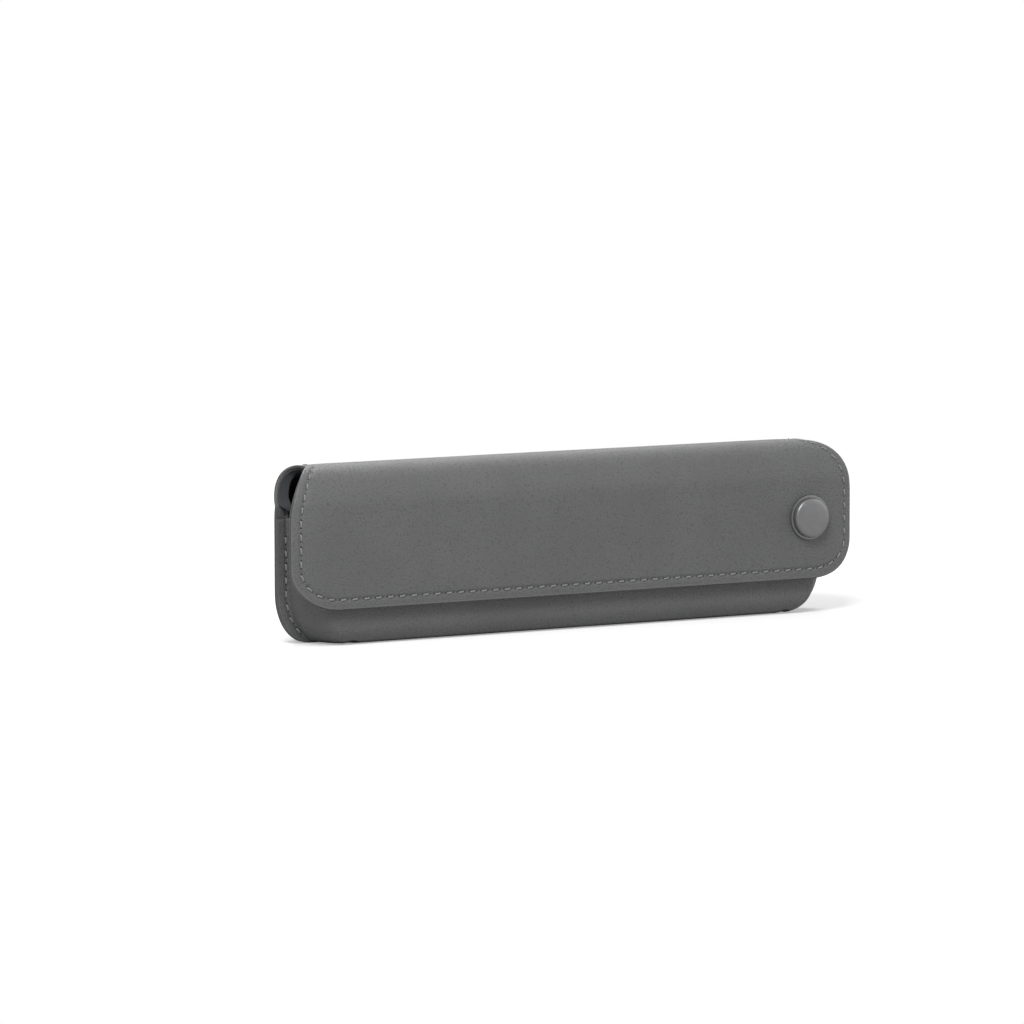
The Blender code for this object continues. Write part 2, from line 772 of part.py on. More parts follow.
def build_socket(parent):
    """The snap's female half, in the flap, with a groove for its spring."""
    low = HALF_DEPTH + FIT_GAP + STUD_FLANGE + FIT_GAP
    seat = FLAP_FACE + FIT_GAP
    roof = BUTTON_FACE - CAP_CROWN - CAP_WALL - FIT_GAP
    groove_top = SPRING_PLACE + 2 * SPRING_WIRE
    groove_low = SPRING_PLACE - 2 * SPRING_WIRE
    groove = SOCKET_BORE + SOCKET_WALL / 2
    profile = [
        (0, roof),
        (SOCKET_RADIUS, roof),
        (SOCKET_RADIUS, seat + COLLAR_HEIGHT),
        (SOCKET_RADIUS + SOCKET_FLANGE, seat + COLLAR_HEIGHT),
        (SOCKET_RADIUS + SOCKET_FLANGE, seat),
        (SOCKET_RADIUS, seat),
        (SOCKET_RADIUS, low),
        (SOCKET_BORE, low),
        (SOCKET_BORE, groove_low),
        (groove, groove_low),
        (groove, groove_top),
        (SOCKET_BORE, groove_top),
        (SOCKET_BORE, roof - SOCKET_ROOF),
        (0, roof - SOCKET_ROOF),
    ]
    return make_object("snap_socket", turned(profile, SMALL_STEPS), STEEL, parent)


def build_spring(parent):
    """The wire ring in the socket's groove that snaps over the stud's head."""
    middle = SOCKET_BORE + SPRING_WIRE / 2
    profile = []
    for step in range(SPRING_STEPS):
        angle = 2 * math.pi * step / SPRING_STEPS
        reach = SPRING_PLACE + SPRING_WIRE * math.sin(angle)
        profile.append((middle + SPRING_WIRE / 2 * math.cos(angle), reach))
    return make_object("snap_spring", turned(profile, SMALL_STEPS), STEEL, parent)


def build_button(parent):
    """The round button that shows, and the collar under it."""
    seat = FLAP_FACE + FIT_GAP
    collar = ring_profile(COLLAR_RADIUS - COLLAR_WIDTH, COLLAR_RADIUS, seat, seat + COLLAR_HEIGHT)
    make_object("snap_collar", turned(collar, ROUND_STEPS), SNAP_GREY, parent)
    low = seat + COLLAR_HEIGHT + FIT_GAP
    cap = rounded_cap_profile(low, BUTTON_FACE)
    make_object("snap_cap", turned(cap, ROUND_STEPS), SNAP_GREY, parent)


def bar(radius, first, last):
    """A bar on the snap's axis, which cuts a hole in what it passes."""
    return turned([(0, last), (radius, last), (radius, first), (0, first)], SMALL_STEPS)


# Vents

def vent_piece(side, inner, outer, depths):
    """A ring, or a disc, laid over the form at a vent, with points close enough to follow it."""
    face = spread(inner, outer, VENT_STEPS)
    wall = spread(*depths, VENT_STEPS)
    profile = [(radius, wall[-1]) for radius in face[:-1]]
    profile += [(outer, depth) for depth in reversed(wall)]
    profile += [(radius, wall[0]) for radius in reversed(face[:-1])]
    if inner > 0:
        profile += [(inner, depth) for depth in wall[1:-1]]
    mesh = spun(profile, SMALL_STEPS)
    for vert in mesh.verts:
        place = BASE_START - VENT_LIFT + vert.co.y
        vert.co = pouch_form(side * VENT_X + vert.co.x, place, vert.co.z)
    return mesh


def build_vents():
    """At each end an eyelet flush in the leather, and a washer on the lining inside."""
    for side, word in ((-1, "left"), (1, "right")):
        eyelet_end = LINING_TOP - FIT_GAP
        depths = (VENT_RECESS, eyelet_end)
        eyelet = vent_piece(side, VENT_BORE, VENT_RADIUS - FIT_GAP, depths)
        make_object("vent_eyelet_" + word, eyelet, VENT_DARK, None)
        washer_top = LINING_END + FIT_GAP
        depths = (washer_top, washer_top + WASHER_THICKNESS)
        washer = vent_piece(side, VENT_BORE, WASHER_RADIUS, depths)
        make_object("vent_washer_" + word, washer, VENT_DARK, None)


def cut_pouch_holes(sheet, lining, board):
    """The vents' holes in leather and lining, and the rivet's hole in all three layers."""
    def rivet_hole():
        return bar(
            POST_RADIUS + FIT_GAP, HALF_DEPTH - LINING_END - OVERRUN, HALF_DEPTH + OVERRUN)

    for target, radius, first, last in (
            (sheet, VENT_RADIUS, -OVERRUN, LEATHER + OVERRUN),
            (lining, VENT_BORE, LINING_TOP - OVERRUN, LINING_END + OVERRUN)):
        vents = [vent_piece(side, 0, radius, (first, last)) for side in (-1, 1)]
        cut(target, [*vents, rivet_hole()])
    cut(board, [rivet_hole()])


# Elastic loops

def build_loop(name, place, width, reach, grip):
    """A band sewn to the back lining at both feet, standing out round what it holds."""
    back = HALF_DEPTH - LINING_END - FIT_GAP
    foot = LOOP_FOOT
    turn = math.pi * reach
    length = 2 * foot + turn

    def form(x, s, depth):
        flat = (foot - depth) / foot
        if s < foot:
            z = LOOP_HEIGHT - grip - foot + s * flat
            return Vector((place + x, back - depth, z))
        if s > foot + turn:
            z = LOOP_HEIGHT + grip + foot - (length - s) * flat
            return Vector((place + x, back - depth, z))
        angle = math.pi * (s - foot) / turn
        y = back - depth - reach * math.sin(angle)
        return Vector((place + x, y, LOOP_HEIGHT - (grip + depth) * math.cos(angle)))

    rows = joined([0], spread(foot, foot + turn, LOOP_STEPS), [length])
    mesh = formed_panel(rows, [0], lambda s: width / 2, (0, ELASTIC), form)
    return make_object(name, mesh, ELASTIC_BLACK, None)


def build_loops():
    """Two loops for the handle, one for the head, and the tacks that hold them."""
    handle = (HANDLE_LOOP_WIDTH, HANDLE_LOOP_REACH, HANDLE_LOOP_GRIP_SHARE)
    head = (HEAD_LOOP_WIDTH, HEAD_LOOP_REACH, HEAD_LOOP_GRIP_SHARE)
    loops = (
        ("handle_loop_left", HANDLE_LOOP_LEFT_SHARE, handle),
        ("handle_loop_right", HANDLE_LOOP_RIGHT_SHARE, handle),
        ("head_loop", HEAD_LOOP_SHARE, head),
    )
    for name, place_share, (width, reach, grip_share) in loops:
        place = POUCH_LENGTH * place_share
        grip = MOUTH_HEIGHT * grip_share
        build_loop(name, place, width, reach, grip)
        for end, word in ((-1, "lower"), (1, "upper")):
            build_tack(name + "_" + word + "_tack", place, width, end * (grip + ELASTIC))


def build_tack(name, place, width, rise):
    """A bar of thread across a foot of a loop, a way above or below the loops' middle."""
    mesh = bmesh.new()
    foot = math.copysign((LOOP_FOOT - ELASTIC) / 2, rise)
    face = HALF_DEPTH - LINING_END - FIT_GAP - ELASTIC
    half = width / 2 - TACK_END
    rings = []
    for x in (-half, half):
        centre = Vector((place + x, face, LOOP_HEIGHT + rise + foot))
        ring = thread_ring(
            mesh, centre, Vector((1, 0, 0)), Vector((0, -1, 0)), STITCH_WIDTH, STITCH_HEIGHT)
        rings.append(ring)
    join_rings(mesh, rings)
    return make_object(name, mesh, THREAD_GREY, None, smooth=False)


def main():
    """Build the case."""
    clear_scene()
    fold_hinge = hinge_empty("fold_hinge", HALF_DEPTH, HINGE_HEIGHT, None)
    flap_hinge = hinge_empty("flap_hinge", -FLAP_FACE, HINGE_HEIGHT, fold_hinge)
    sheet = build_pouch_sheet()
    lining = build_pouch_lining()
    front_board = build_board("front_board", BOARD_EDGE, FRONT_HEIGHT, FLAT_INSET)
    build_board("back_board", BACK_START, POUCH_SHEET_LENGTH - BOARD_EDGE, FLAT_INSET)
    build_board("base_board", BASE_START, BASE_END, VENT_FROM_END + WASHER_RADIUS)
    build_binding()
    build_vents()
    cut_pouch_holes(sheet, lining, front_board)
    build_loops()
    build_stud()
    build_rivet()
    build_fold(fold_hinge)
    build_flap(flap_hinge)
    build_socket(flap_hinge)
    build_spring(flap_hinge)
    build_button(flap_hinge)
    build_thread("flap_stitches", flap_run(), flap_form, flap_hinge)
    for side, word in ((-1, "left"), (1, "right")):
        build_thread("fold_stitches_" + word, fold_run(side), fold_form, fold_hinge)
        for face in ("front", "back"):
            run = seam_run(side, face)
            build_thread("seam_stitches_" + face + "_" + word, run, pouch_form, None)
    build_mouth_stitches()


main()
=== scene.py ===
"""Dresses the travel case: grained leather, sewn thread, woven lining and lacquered metal.

Metres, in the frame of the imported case: +X along the case, -Y to the front, +Z up.
"""

import logging
import math
from dataclasses import dataclass, field
from enum import Enum
from typing import Callable, Iterable, Optional, Union

import bmesh
import bpy
from mathutils import Matrix, Vector, kdtree, noise


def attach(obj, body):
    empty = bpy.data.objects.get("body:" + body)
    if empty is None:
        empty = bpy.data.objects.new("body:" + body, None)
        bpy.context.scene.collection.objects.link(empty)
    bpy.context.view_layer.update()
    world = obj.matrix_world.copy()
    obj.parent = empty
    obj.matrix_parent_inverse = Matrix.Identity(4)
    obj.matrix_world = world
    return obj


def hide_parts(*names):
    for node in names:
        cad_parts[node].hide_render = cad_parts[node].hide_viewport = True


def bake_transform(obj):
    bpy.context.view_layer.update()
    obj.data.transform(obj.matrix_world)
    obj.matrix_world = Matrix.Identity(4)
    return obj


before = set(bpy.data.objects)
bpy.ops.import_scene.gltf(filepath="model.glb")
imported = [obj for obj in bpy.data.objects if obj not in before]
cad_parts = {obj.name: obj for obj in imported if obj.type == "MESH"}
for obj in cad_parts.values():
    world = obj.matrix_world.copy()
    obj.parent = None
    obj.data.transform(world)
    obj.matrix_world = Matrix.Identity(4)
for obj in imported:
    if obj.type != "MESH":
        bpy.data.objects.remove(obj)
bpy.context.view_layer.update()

LOG = logging.getLogger("travel_case")

Colour = tuple[float, float, float]
Pairs = list[tuple[float, float]]
Form = Callable[[float, float, float], Vector]
Outline = Callable[[float], float]
Socket = bpy.types.NodeSocket
Value = Union[float, tuple[float, ...], Socket]

MM = 0.001
STITCH_PITCH = 5 * MM
WHITE: Colour = (1.0, 1.0, 1.0)


class Side(Enum):
    """An end of the case, as the sign of X."""

    LEFT = -1
    RIGHT = 1

    @property
    def word(self) -> str:
        """The end's word in piece names."""
        return self.name.lower()


class Body(Enum):
    """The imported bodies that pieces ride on."""

    POUCH = "pouch"
    FOLD = "fold"
    FLAP = "flap"


class FoldLine(Enum):
    """The lines that the sheets bend about, by the bodies before and after."""

    BACK = (Body.POUCH, Body.FOLD)
    FRONT = (Body.FOLD, Body.FLAP)


def spread(first: float, last: float, step: float) -> list[float]:
    """Values from first to last, about a step apart.

    Args:
        first: The first value.
        last: The last value.
        step: The widest step wanted.

    Returns:
        The values, both ends among them.
    """
    count = max(1, math.ceil(abs(last - first) / step - 1e-6))
    return [first + (last - first) * index / count for index in range(count + 1)]


def joined(*runs: Iterable[float]) -> list[float]:
    """Runs of values as one rising list without doubles.

    Args:
        runs: Any lists of values.

    Returns:
        The values, rising.
    """
    values: list[float] = []
    for value in sorted(value for run in runs for value in run):
        if not values or value - values[-1] > 1e-5:
            values.append(value)
    return values


def stretches(first: float, *runs: tuple[float, float]) -> list[float]:
    """Values over runs that follow each other, each with its own step.

    Args:
        first: The first value.
        runs: Where each run ends, and its step.

    Returns:
        The values, rising.
    """
    found = []
    for end, step in runs:
        found.append(spread(first, end, step))
        first = end
    return joined(*found)


def smooth(low: float, high: float, value: float) -> float:
    """A smooth step from 0 at low to 1 at high."""
    share = min(max((value - low) / (high - low), 0.0), 1.0)
    return share * share * (3 - 2 * share)


def on_arc(centre: tuple[float, float], reach: float, angle: float) -> tuple[float, float]:
    """The point of a circle at an angle."""
    return centre[0] + reach * math.cos(angle), centre[1] + reach * math.sin(angle)


@dataclass(frozen=True)
class CaseForm:
    """The formed sheet: where a place x, s on the flat sheet and a depth under its face lies.

    On the pouch s runs from the mouth's front edge down, under the base, up the back and over the
    fold. On the flap it runs from the middle of the fold's top forwards and down.

    Both ends are pinched flat over the seam's width, where half of both sheets is seam_half thick,
    and swell to the full depth over swell_run, which draws each layer in by a share of its depth.
    The flap's ends curl back over curl_run. A corner is its run along the case and its rise.
    """

    pouch_half: float = 0.1197
    flap_over: float = 0.0033
    half_depth: float = 0.017
    height: float = 0.0663
    mouth: float = 0.047
    flap_bottom: float = 0.014
    base_radius: float = 0.007
    fold_radius: float = 0.015
    seam: float = 0.005
    seam_half: float = 0.00135
    swell_run: float = 0.008
    draw: float = 0.4
    curl: float = 0.003
    curl_run: float = 0.012
    leather: float = 0.0012
    lining: float = 0.0006
    board_depth: float = 0.0028
    flap_face: float = 0.0207
    centre_y: float = 0.00355
    snap_x: float = 0.1020
    snap_z: float = 0.0377
    vent_x: float = 0.0953
    vent_lift: float = 0.0010
    base_corner: tuple[float, float] = (0.013, 0.019)
    top_corner: tuple[float, float] = (0.013, 0.020)
    flap_corner: tuple[float, float] = (0.019, 0.015)

    @property
    def hinge(self) -> float:
        """Height of both fold lines."""
        return self.height - self.fold_radius

    @property
    def fold_half(self) -> float:
        """Half depth of the unformed fold."""
        return (self.half_depth + self.flap_face) / 2

    @property
    def fold_flat(self) -> float:
        """Half depth of the fold's flat top."""
        return self.fold_half - self.fold_radius

    @property
    def flap_half(self) -> float:
        """Half length of the flap."""
        return self.pouch_half + self.flap_over

    @property
    def front(self) -> float:
        """Length of the front wall, from the mouth to the base's bend."""
        return self.mouth - self.base_radius

    @property
    def base_start(self) -> float:
        """Where the base's flat begins."""
        return self.front + self.base_radius * math.pi / 2

    @property
    def base_end(self) -> float:
        """Where the base's flat ends."""
        return self.base_start + 2 * (self.half_depth - self.base_radius)

    @property
    def back_start(self) -> float:
        """Where the back wall begins."""
        return self.base_end + self.base_radius * math.pi / 2

    @property
    def back_end(self) -> float:
        """Where the back wall turns into the fold."""
        return self.back_start + self.hinge - self.base_radius

    @property
    def half_fold(self) -> float:
        """Length of half of the fold."""
        return self.fold_radius * math.pi / 2 + self.fold_flat

    @property
    def flap_length(self) -> float:
        """Length from the fold's middle to the flap's lower edge."""
        return self.half_fold + self.hinge - self.flap_bottom

    @property
    def inner_back(self) -> float:
        """Distance of the back lining's inner face from the plane of the side seams."""
        return self.half_depth - self.board_depth - self.lining

    @staticmethod
    def corner(distance: float, size: tuple[float, float]) -> float:
        """How far a round corner draws an outline in, at a distance from its edge.

        Args:
            distance: Distance from the edge that the corner rounds into.
            size: The corner's run and rise.

        Returns:
            The inset.
        """
        run, rise = size
        if distance >= rise:
            return 0.0
        share = 1 - max(distance, 0) / rise
        return run * (1 - math.sqrt(1 - share * share))

    def pouch_at(self, z: float) -> float:
        """Half length of the pouch at a height."""
        corner = (self.top_corner[0] - self.flap_over, self.top_corner[1])
        return self.pouch_half - self.corner(z, self.base_corner) - self.corner(self.height - z, corner)

    def flap_at(self, z: float) -> float:
        """Half length of the flap at a height."""
        low = self.corner(z - self.flap_bottom, self.flap_corner)
        return self.flap_half - low - self.corner(self.height - z, self.top_corner)

    def swell(self, x: float, half: float) -> float:
        """Share of its full depth that a sheet of a half length has at x."""
        share = min(max((half - abs(x) - self.seam) / self.swell_run, 0), 1)
        return 1 - (1 - share) ** 2

    def drawn_in(self, x: float, half: float, depth: float) -> float:
        """Where a place ends up along the case, as the swell draws it in.

        Args:
            x: Place along the flat sheet.
            half: Half length of the sheet there.
            depth: Depth under the outer face.

        Returns:
            The place along the formed case.
        """
        inside = half - abs(x)
        falling = 1 - (inside - self.seam - self.swell_run) / self.swell_run
        share = max(min(inside / self.seam, falling, 1), 0)
        return x - math.copysign(self.draw * depth * share, x)

    def wall(self, x: float, half: float, depth: float) -> float:
        """Distance of the wall from the plane of the side seams."""
        return self.seam_half - depth + (self.half_depth - self.seam_half) * self.swell(x, half)

    def flap_reach(self, x: float, depth: float) -> float:
        """The same for the flap, which is flat but for its curled ends."""
        share = max(abs(x) - self.flap_half + self.curl_run, 0) / self.curl_run
        return self.flap_face - depth - self.curl * share ** 2

    def pouch_section(self, s: float, depth: float) -> tuple[float, float]:
        """The pouch's section, seen from the end.

        Args:
            s: Length along the outer face.
            depth: Depth under it.

        Returns:
            y and z before the ends are pinched.
        """
        half, radius = self.half_depth, self.base_radius
        if s < self.front:
            return depth - half, self.mouth - s
        if s < self.base_start:
            angle = math.pi + (s - self.front) / radius
            return on_arc((radius - half, radius), radius - depth, angle)
        if s < self.base_end:
            return s - self.base_start - half + radius, depth
        if s < self.back_start:
            angle = 1.5 * math.pi + (s - self.base_end) / radius
            return on_arc((half - radius, radius), radius - depth, angle)
        return half - depth, radius + s - self.back_start

    def fold_section(self, s: float, depth: float) -> tuple[float, float]:
        """The fold's section, seen from the end.

        Args:
            s: Length along the outer face from the fold's back edge.
            depth: Depth under it.

        Returns:
            y and z before the ends are pinched.
        """
        radius, flat = self.fold_radius, self.fold_flat
        bend = radius * math.pi / 2
        if s < bend:
            return on_arc((flat, self.hinge), radius - depth, s / radius)
        if s < bend + 2 * flat:
            return flat - (s - bend), self.height - depth
        angle = math.pi / 2 + (s - bend - 2 * flat) / radius
        return on_arc((-flat, self.hinge), radius - depth, angle)

    def front_at(self, z: float) -> float:
        """Length along the sheet down to a height of the front, or of the bend under it."""
        bend = self.base_radius * math.asin(1 - min(z / self.base_radius, 1))
        return self.mouth - max(z, self.base_radius) + bend

    def back_at(self, z: float) -> float:
        """Length along the sheet up to a height of the back, or of the bend under it."""
        bend = self.base_radius * math.acos(1 - min(z / self.base_radius, 1))
        return self.base_end + bend + max(z - self.base_radius, 0)

    def pouch_outline(self, s: float) -> float:
        """The pouch sheet's outline.

        Args:
            s: Length along the sheet, from the mouth to the fold's middle.

        Returns:
            Half length of the sheet there.
        """
        if s < self.back_end:
            return self.pouch_at(self.pouch_section(s, 0)[1])
        return self.pouch_at(self.fold_section(min(s - self.back_end, self.half_fold), 0)[1])

    def flap_outline(self, s: float) -> float:
        """The flap sheet's outline.

        Args:
            s: Length along the sheet, from the fold's middle to the flap's edge.

        Returns:
            Half length of the sheet there.
        """
        if s < self.half_fold:
            return self.flap_at(self.fold_section(self.half_fold + s, 0)[1])
        return self.flap_at(self.hinge - (s - self.half_fold))

    def fold_point(self, x: float, s: float, depth: float, half: float) -> Vector:
        """A point of the fold.

        Args:
            x: Place along the case.
            s: Length along the sheet from the fold's back edge.
            depth: Depth under the outer face.
            half: Half length of the sheet there.

        Returns:
            The point, in the case's frame.
        """
        y, z = self.fold_section(s, depth)
        pinch = max(1 - s / self.half_fold, 0)
        back = self.half_depth - depth
        back += (self.wall(x, half, depth) - back) * pinch
        front = -self.flap_reach(x, depth)
        share = y / (self.fold_half - depth)
        y = (back + front) / 2 + share * (back - front) / 2
        return Vector((self.drawn_in(x, half, depth * pinch), y + self.centre_y, z))

    def pouch_point(self, x: float, s: float, depth: float) -> Vector:
        """A point of the pouch's sheet or of the fold's back half.

        Args:
            x: Place along the case.
            s: Length along the sheet from the mouth.
            depth: Depth under the outer face.

        Returns:
            The point, in the case's frame.
        """
        half = self.pouch_outline(s)
        if s > self.back_end:
            return self.fold_point(x, s - self.back_end, depth, half)
        y, z = self.pouch_section(s, depth)
        y *= self.wall(x, half, depth) / (self.half_depth - depth)
        return Vector((self.drawn_in(x, half, depth), y + self.centre_y, z))

    def flap_point(self, x: float, s: float, depth: float) -> Vector:
        """A point of the flap's sheet or of the fold's front half.

        Args:
            x: Place along the case.
            s: Length along the sheet from the fold's middle.
            depth: Depth under the outer face.

        Returns:
            The point, in the case's frame.
        """
        half = self.flap_outline(s)
        if s < self.half_fold:
            return self.fold_point(x, self.half_fold + s, depth, half)
        z = self.hinge - (s - self.half_fold)
        return Vector((x, self.centre_y - self.flap_reach(x, depth), z))


FORM = CaseForm()


# Node groups that several finishes share

class Nodes:
    """A node tree under construction."""

    def __init__(self, tree: bpy.types.NodeTree) -> None:
        """Start on an empty or cleared tree."""
        self.tree = tree
        tree.nodes.clear()

    def feed(self, value: Value, socket: Socket) -> None:
        """Link a socket to another, or set it to a value.

        Args:
            value: The other socket, or the value.
            socket: The socket.
        """
        if isinstance(value, Socket):
            self.tree.links.new(value, socket)
        else:
            socket.default_value = value

    def add(self, kind: str, values: Optional[dict[Union[str, int], Value]] = None,
            **settings: object) -> bpy.types.Node:
        """Add a node.

        Args:
            kind: The node's type, without its ShaderNode prefix.
            values: Input values, or sockets to link from, by input name or number.
            settings: The node's own properties.

        Returns:
            The node.
        """
        node = self.tree.nodes.new("ShaderNode" + kind if "Node" not in kind else kind)
        for name, setting in settings.items():
            setattr(node, name, setting)
        for name, value in (values or {}).items():
            self.feed(value, node.inputs[name])
        return node

    def math(self, operation: str, *values: Value, clamp: bool = False) -> Socket:
        """The result of a Math node."""
        node = self.add("Math", dict(enumerate(values)), operation=operation, use_clamp=clamp)
        return node.outputs[0]

    def wave(self, turns: Value) -> Socket:
        """Round crowns, one to a turn, with a crease at each whole turn."""
        return self.math("ABSOLUTE", self.math("SINE", self.math("MULTIPLY", turns, math.pi)))

    def ramp(self, value: Value, low: float, high: float, first: float = 0.0,
             last: float = 1.0) -> Socket:
        """A smooth step.

        Args:
            value: What it reads.
            low: Where it starts.
            high: Where it ends.
            first: Its result up to low.
            last: Its result from high on.

        Returns:
            The result.
        """
        values = {"Value": value, "From Min": low, "From Max": high, "To Min": first,
                  "To Max": last}
        return self.add("MapRange", values, interpolation_type="SMOOTHSTEP").outputs[0]

    def noise(self, where: Value, scale: float, detail: float = 3.0) -> Socket:
        """The value of a noise texture."""
        values = {"Vector": where, "Scale": scale, "Detail": detail}
        return self.add("TexNoise", values).outputs[0]

    def mix(self, share: Value, first: Value, second: Value) -> Socket:
        """A blend of two colours, by the numbers of the Mix node's colour sockets."""
        node = self.add("Mix", {0: share, 6: first, 7: second}, data_type="RGBA")
        return node.outputs[2]


def new_group(name: str, inputs: dict[str, float],
              outputs: Iterable[str]) -> tuple[Nodes, bpy.types.Node, bpy.types.Node]:
    """Make an empty shader node group that takes a place.

    Args:
        name: The group's name.
        inputs: Its number inputs with their default values.
        outputs: Its number outputs.

    Returns:
        The tree and its input and output nodes.
    """
    tree = bpy.data.node_groups.new(name, "ShaderNodeTree")
    tree.interface.new_socket("Place", in_out="INPUT", socket_type="NodeSocketVector")
    for label, value in inputs.items():
        socket = tree.interface.new_socket(label, in_out="INPUT", socket_type="NodeSocketFloat")
        socket.default_value = value
    for label in outputs:
        tree.interface.new_socket(label, in_out="OUTPUT", socket_type="NodeSocketFloat")
    nodes = Nodes(tree)
    return nodes, nodes.add("NodeGroupInput"), nodes.add("NodeGroupOutput")


def pebble_group() -> bpy.types.NodeTree:
    """Pebbled leather grain: rounded cells with fine creases between, and pores.

    Returns:
        A group with Height, 0 in the creases to 1 on the pebbles, and Mottle, slow colour change.
    """
    nodes, given, gives = new_group(
        Effect.PEBBLE.value, {"Cells per metre": 900.0, "Irregular": 0.35}, ["Height", "Mottle"])
    pores, mottles = 5200.0, 38.0
    place = given.outputs["Place"]
    density = given.outputs["Cells per metre"]
    warp = nodes.add("TexNoise", {"Vector": place, "Scale": nodes.math("MULTIPLY", density, 0.6)})
    shift = nodes.add("VectorMath", {0: warp.outputs["Color"], 1: (0.5, 0.5, 0.5)},
                      operation="SUBTRACT")
    size = nodes.math("DIVIDE", given.outputs["Irregular"], density)
    moved = nodes.add("VectorMath", {0: shift.outputs[0], "Scale": size}, operation="SCALE")
    warped = nodes.add("VectorMath", {0: place, 1: moved.outputs[0]}, operation="ADD").outputs[0]
    cell = {"Vector": warped, "Scale": density}
    centre = nodes.add("TexVoronoi", cell, feature="F1").outputs["Distance"]
    rim = nodes.add("TexVoronoi", cell, feature="DISTANCE_TO_EDGE").outputs["Distance"]
    fall = nodes.math("MULTIPLY", nodes.math("POWER", centre, 2.0), 1.3)
    dome = nodes.math("SUBTRACT", 1.0, fall, clamp=True)
    pebbles = nodes.math("ADD", nodes.math("MULTIPLY", dome, 0.55),
                         nodes.math("MULTIPLY", nodes.ramp(rim, 0.0, 0.16), 0.45))
    fine = nodes.math("MULTIPLY", nodes.noise(place, pores, 2.0), 0.10)
    nodes.feed(nodes.math("ADD", pebbles, fine), gives.inputs["Height"])
    nodes.feed(nodes.noise(place, mottles, 4.0), gives.inputs["Mottle"])
    return nodes.tree


def weave_group() -> bpy.types.NodeTree:
    """Plain weave on a UV map in metres.

    Returns:
        A group with Height, the threads' relief.
    """
    names = ["Threads per metre U", "Threads per metre V"]
    nodes, given, gives = new_group(Effect.WEAVE.value, dict.fromkeys(names, 2600.0), ["Height"])
    parts = nodes.add("SeparateXYZ", {0: given.outputs["Place"]})
    turns = [nodes.math("MULTIPLY", parts.outputs[axis], given.outputs[name])
             for axis, name in enumerate(names)]
    crowns = [nodes.wave(turn) for turn in turns]
    checks = [nodes.math("COSINE", nodes.math("MULTIPLY", turn, math.pi)) for turn in turns]
    thread = nodes.ramp(nodes.math("MULTIPLY", *checks), -0.12, 0.12)
    warp = nodes.math("MULTIPLY", thread, crowns[0])
    weft = nodes.math("MULTIPLY", nodes.math("SUBTRACT", 1.0, thread), crowns[1])
    nodes.feed(nodes.math("ADD", warp, weft), gives.inputs["Height"])
    return nodes.tree


def rib_group() -> bpy.types.NodeTree:
    """Round ribs across a UV map in metres, as on grosgrain tape and webbing.

    Returns:
        A group with Height and Thread, the fine threads that cross the ribs.
    """
    nodes, given, gives = new_group(
        Effect.RIB.value, {"Ribs per metre": 1400.0, "Threads per metre": 5000.0},
        ["Height", "Thread"])
    parts = nodes.add("SeparateXYZ", {0: given.outputs["Place"]})
    ribs = nodes.math("MULTIPLY", parts.outputs[0], given.outputs["Ribs per metre"])
    across = nodes.math("MULTIPLY", parts.outputs[1], given.outputs["Threads per metre"])
    odd = nodes.math("ADD", across, nodes.math("MULTIPLY", nodes.math("FLOOR", ribs), 0.5))
    thread = nodes.wave(odd)
    height = nodes.math("ADD", nodes.wave(ribs), nodes.math("MULTIPLY", thread, 0.25))
    nodes.feed(height, gives.inputs["Height"])
    nodes.feed(thread, gives.inputs["Thread"])
    return nodes.tree


class Effect(Enum):
    """The shared node groups, by name."""

    PEBBLE = "Pebble grain"
    WEAVE = "Plain weave"
    RIB = "Ribbed tape"

    def group(self) -> bpy.types.NodeTree:
        """The node group, made on first use."""
        makers = {Effect.PEBBLE: pebble_group, Effect.WEAVE: weave_group, Effect.RIB: rib_group}
        return bpy.data.node_groups.get(self.value) or makers[self]()


def tint(colour: Colour, share: float = 1.0) -> tuple[float, float, float, float]:
    """A colour times a share, with full alpha."""
    return (colour[0] * share, colour[1] * share, colour[2] * share, 1.0)


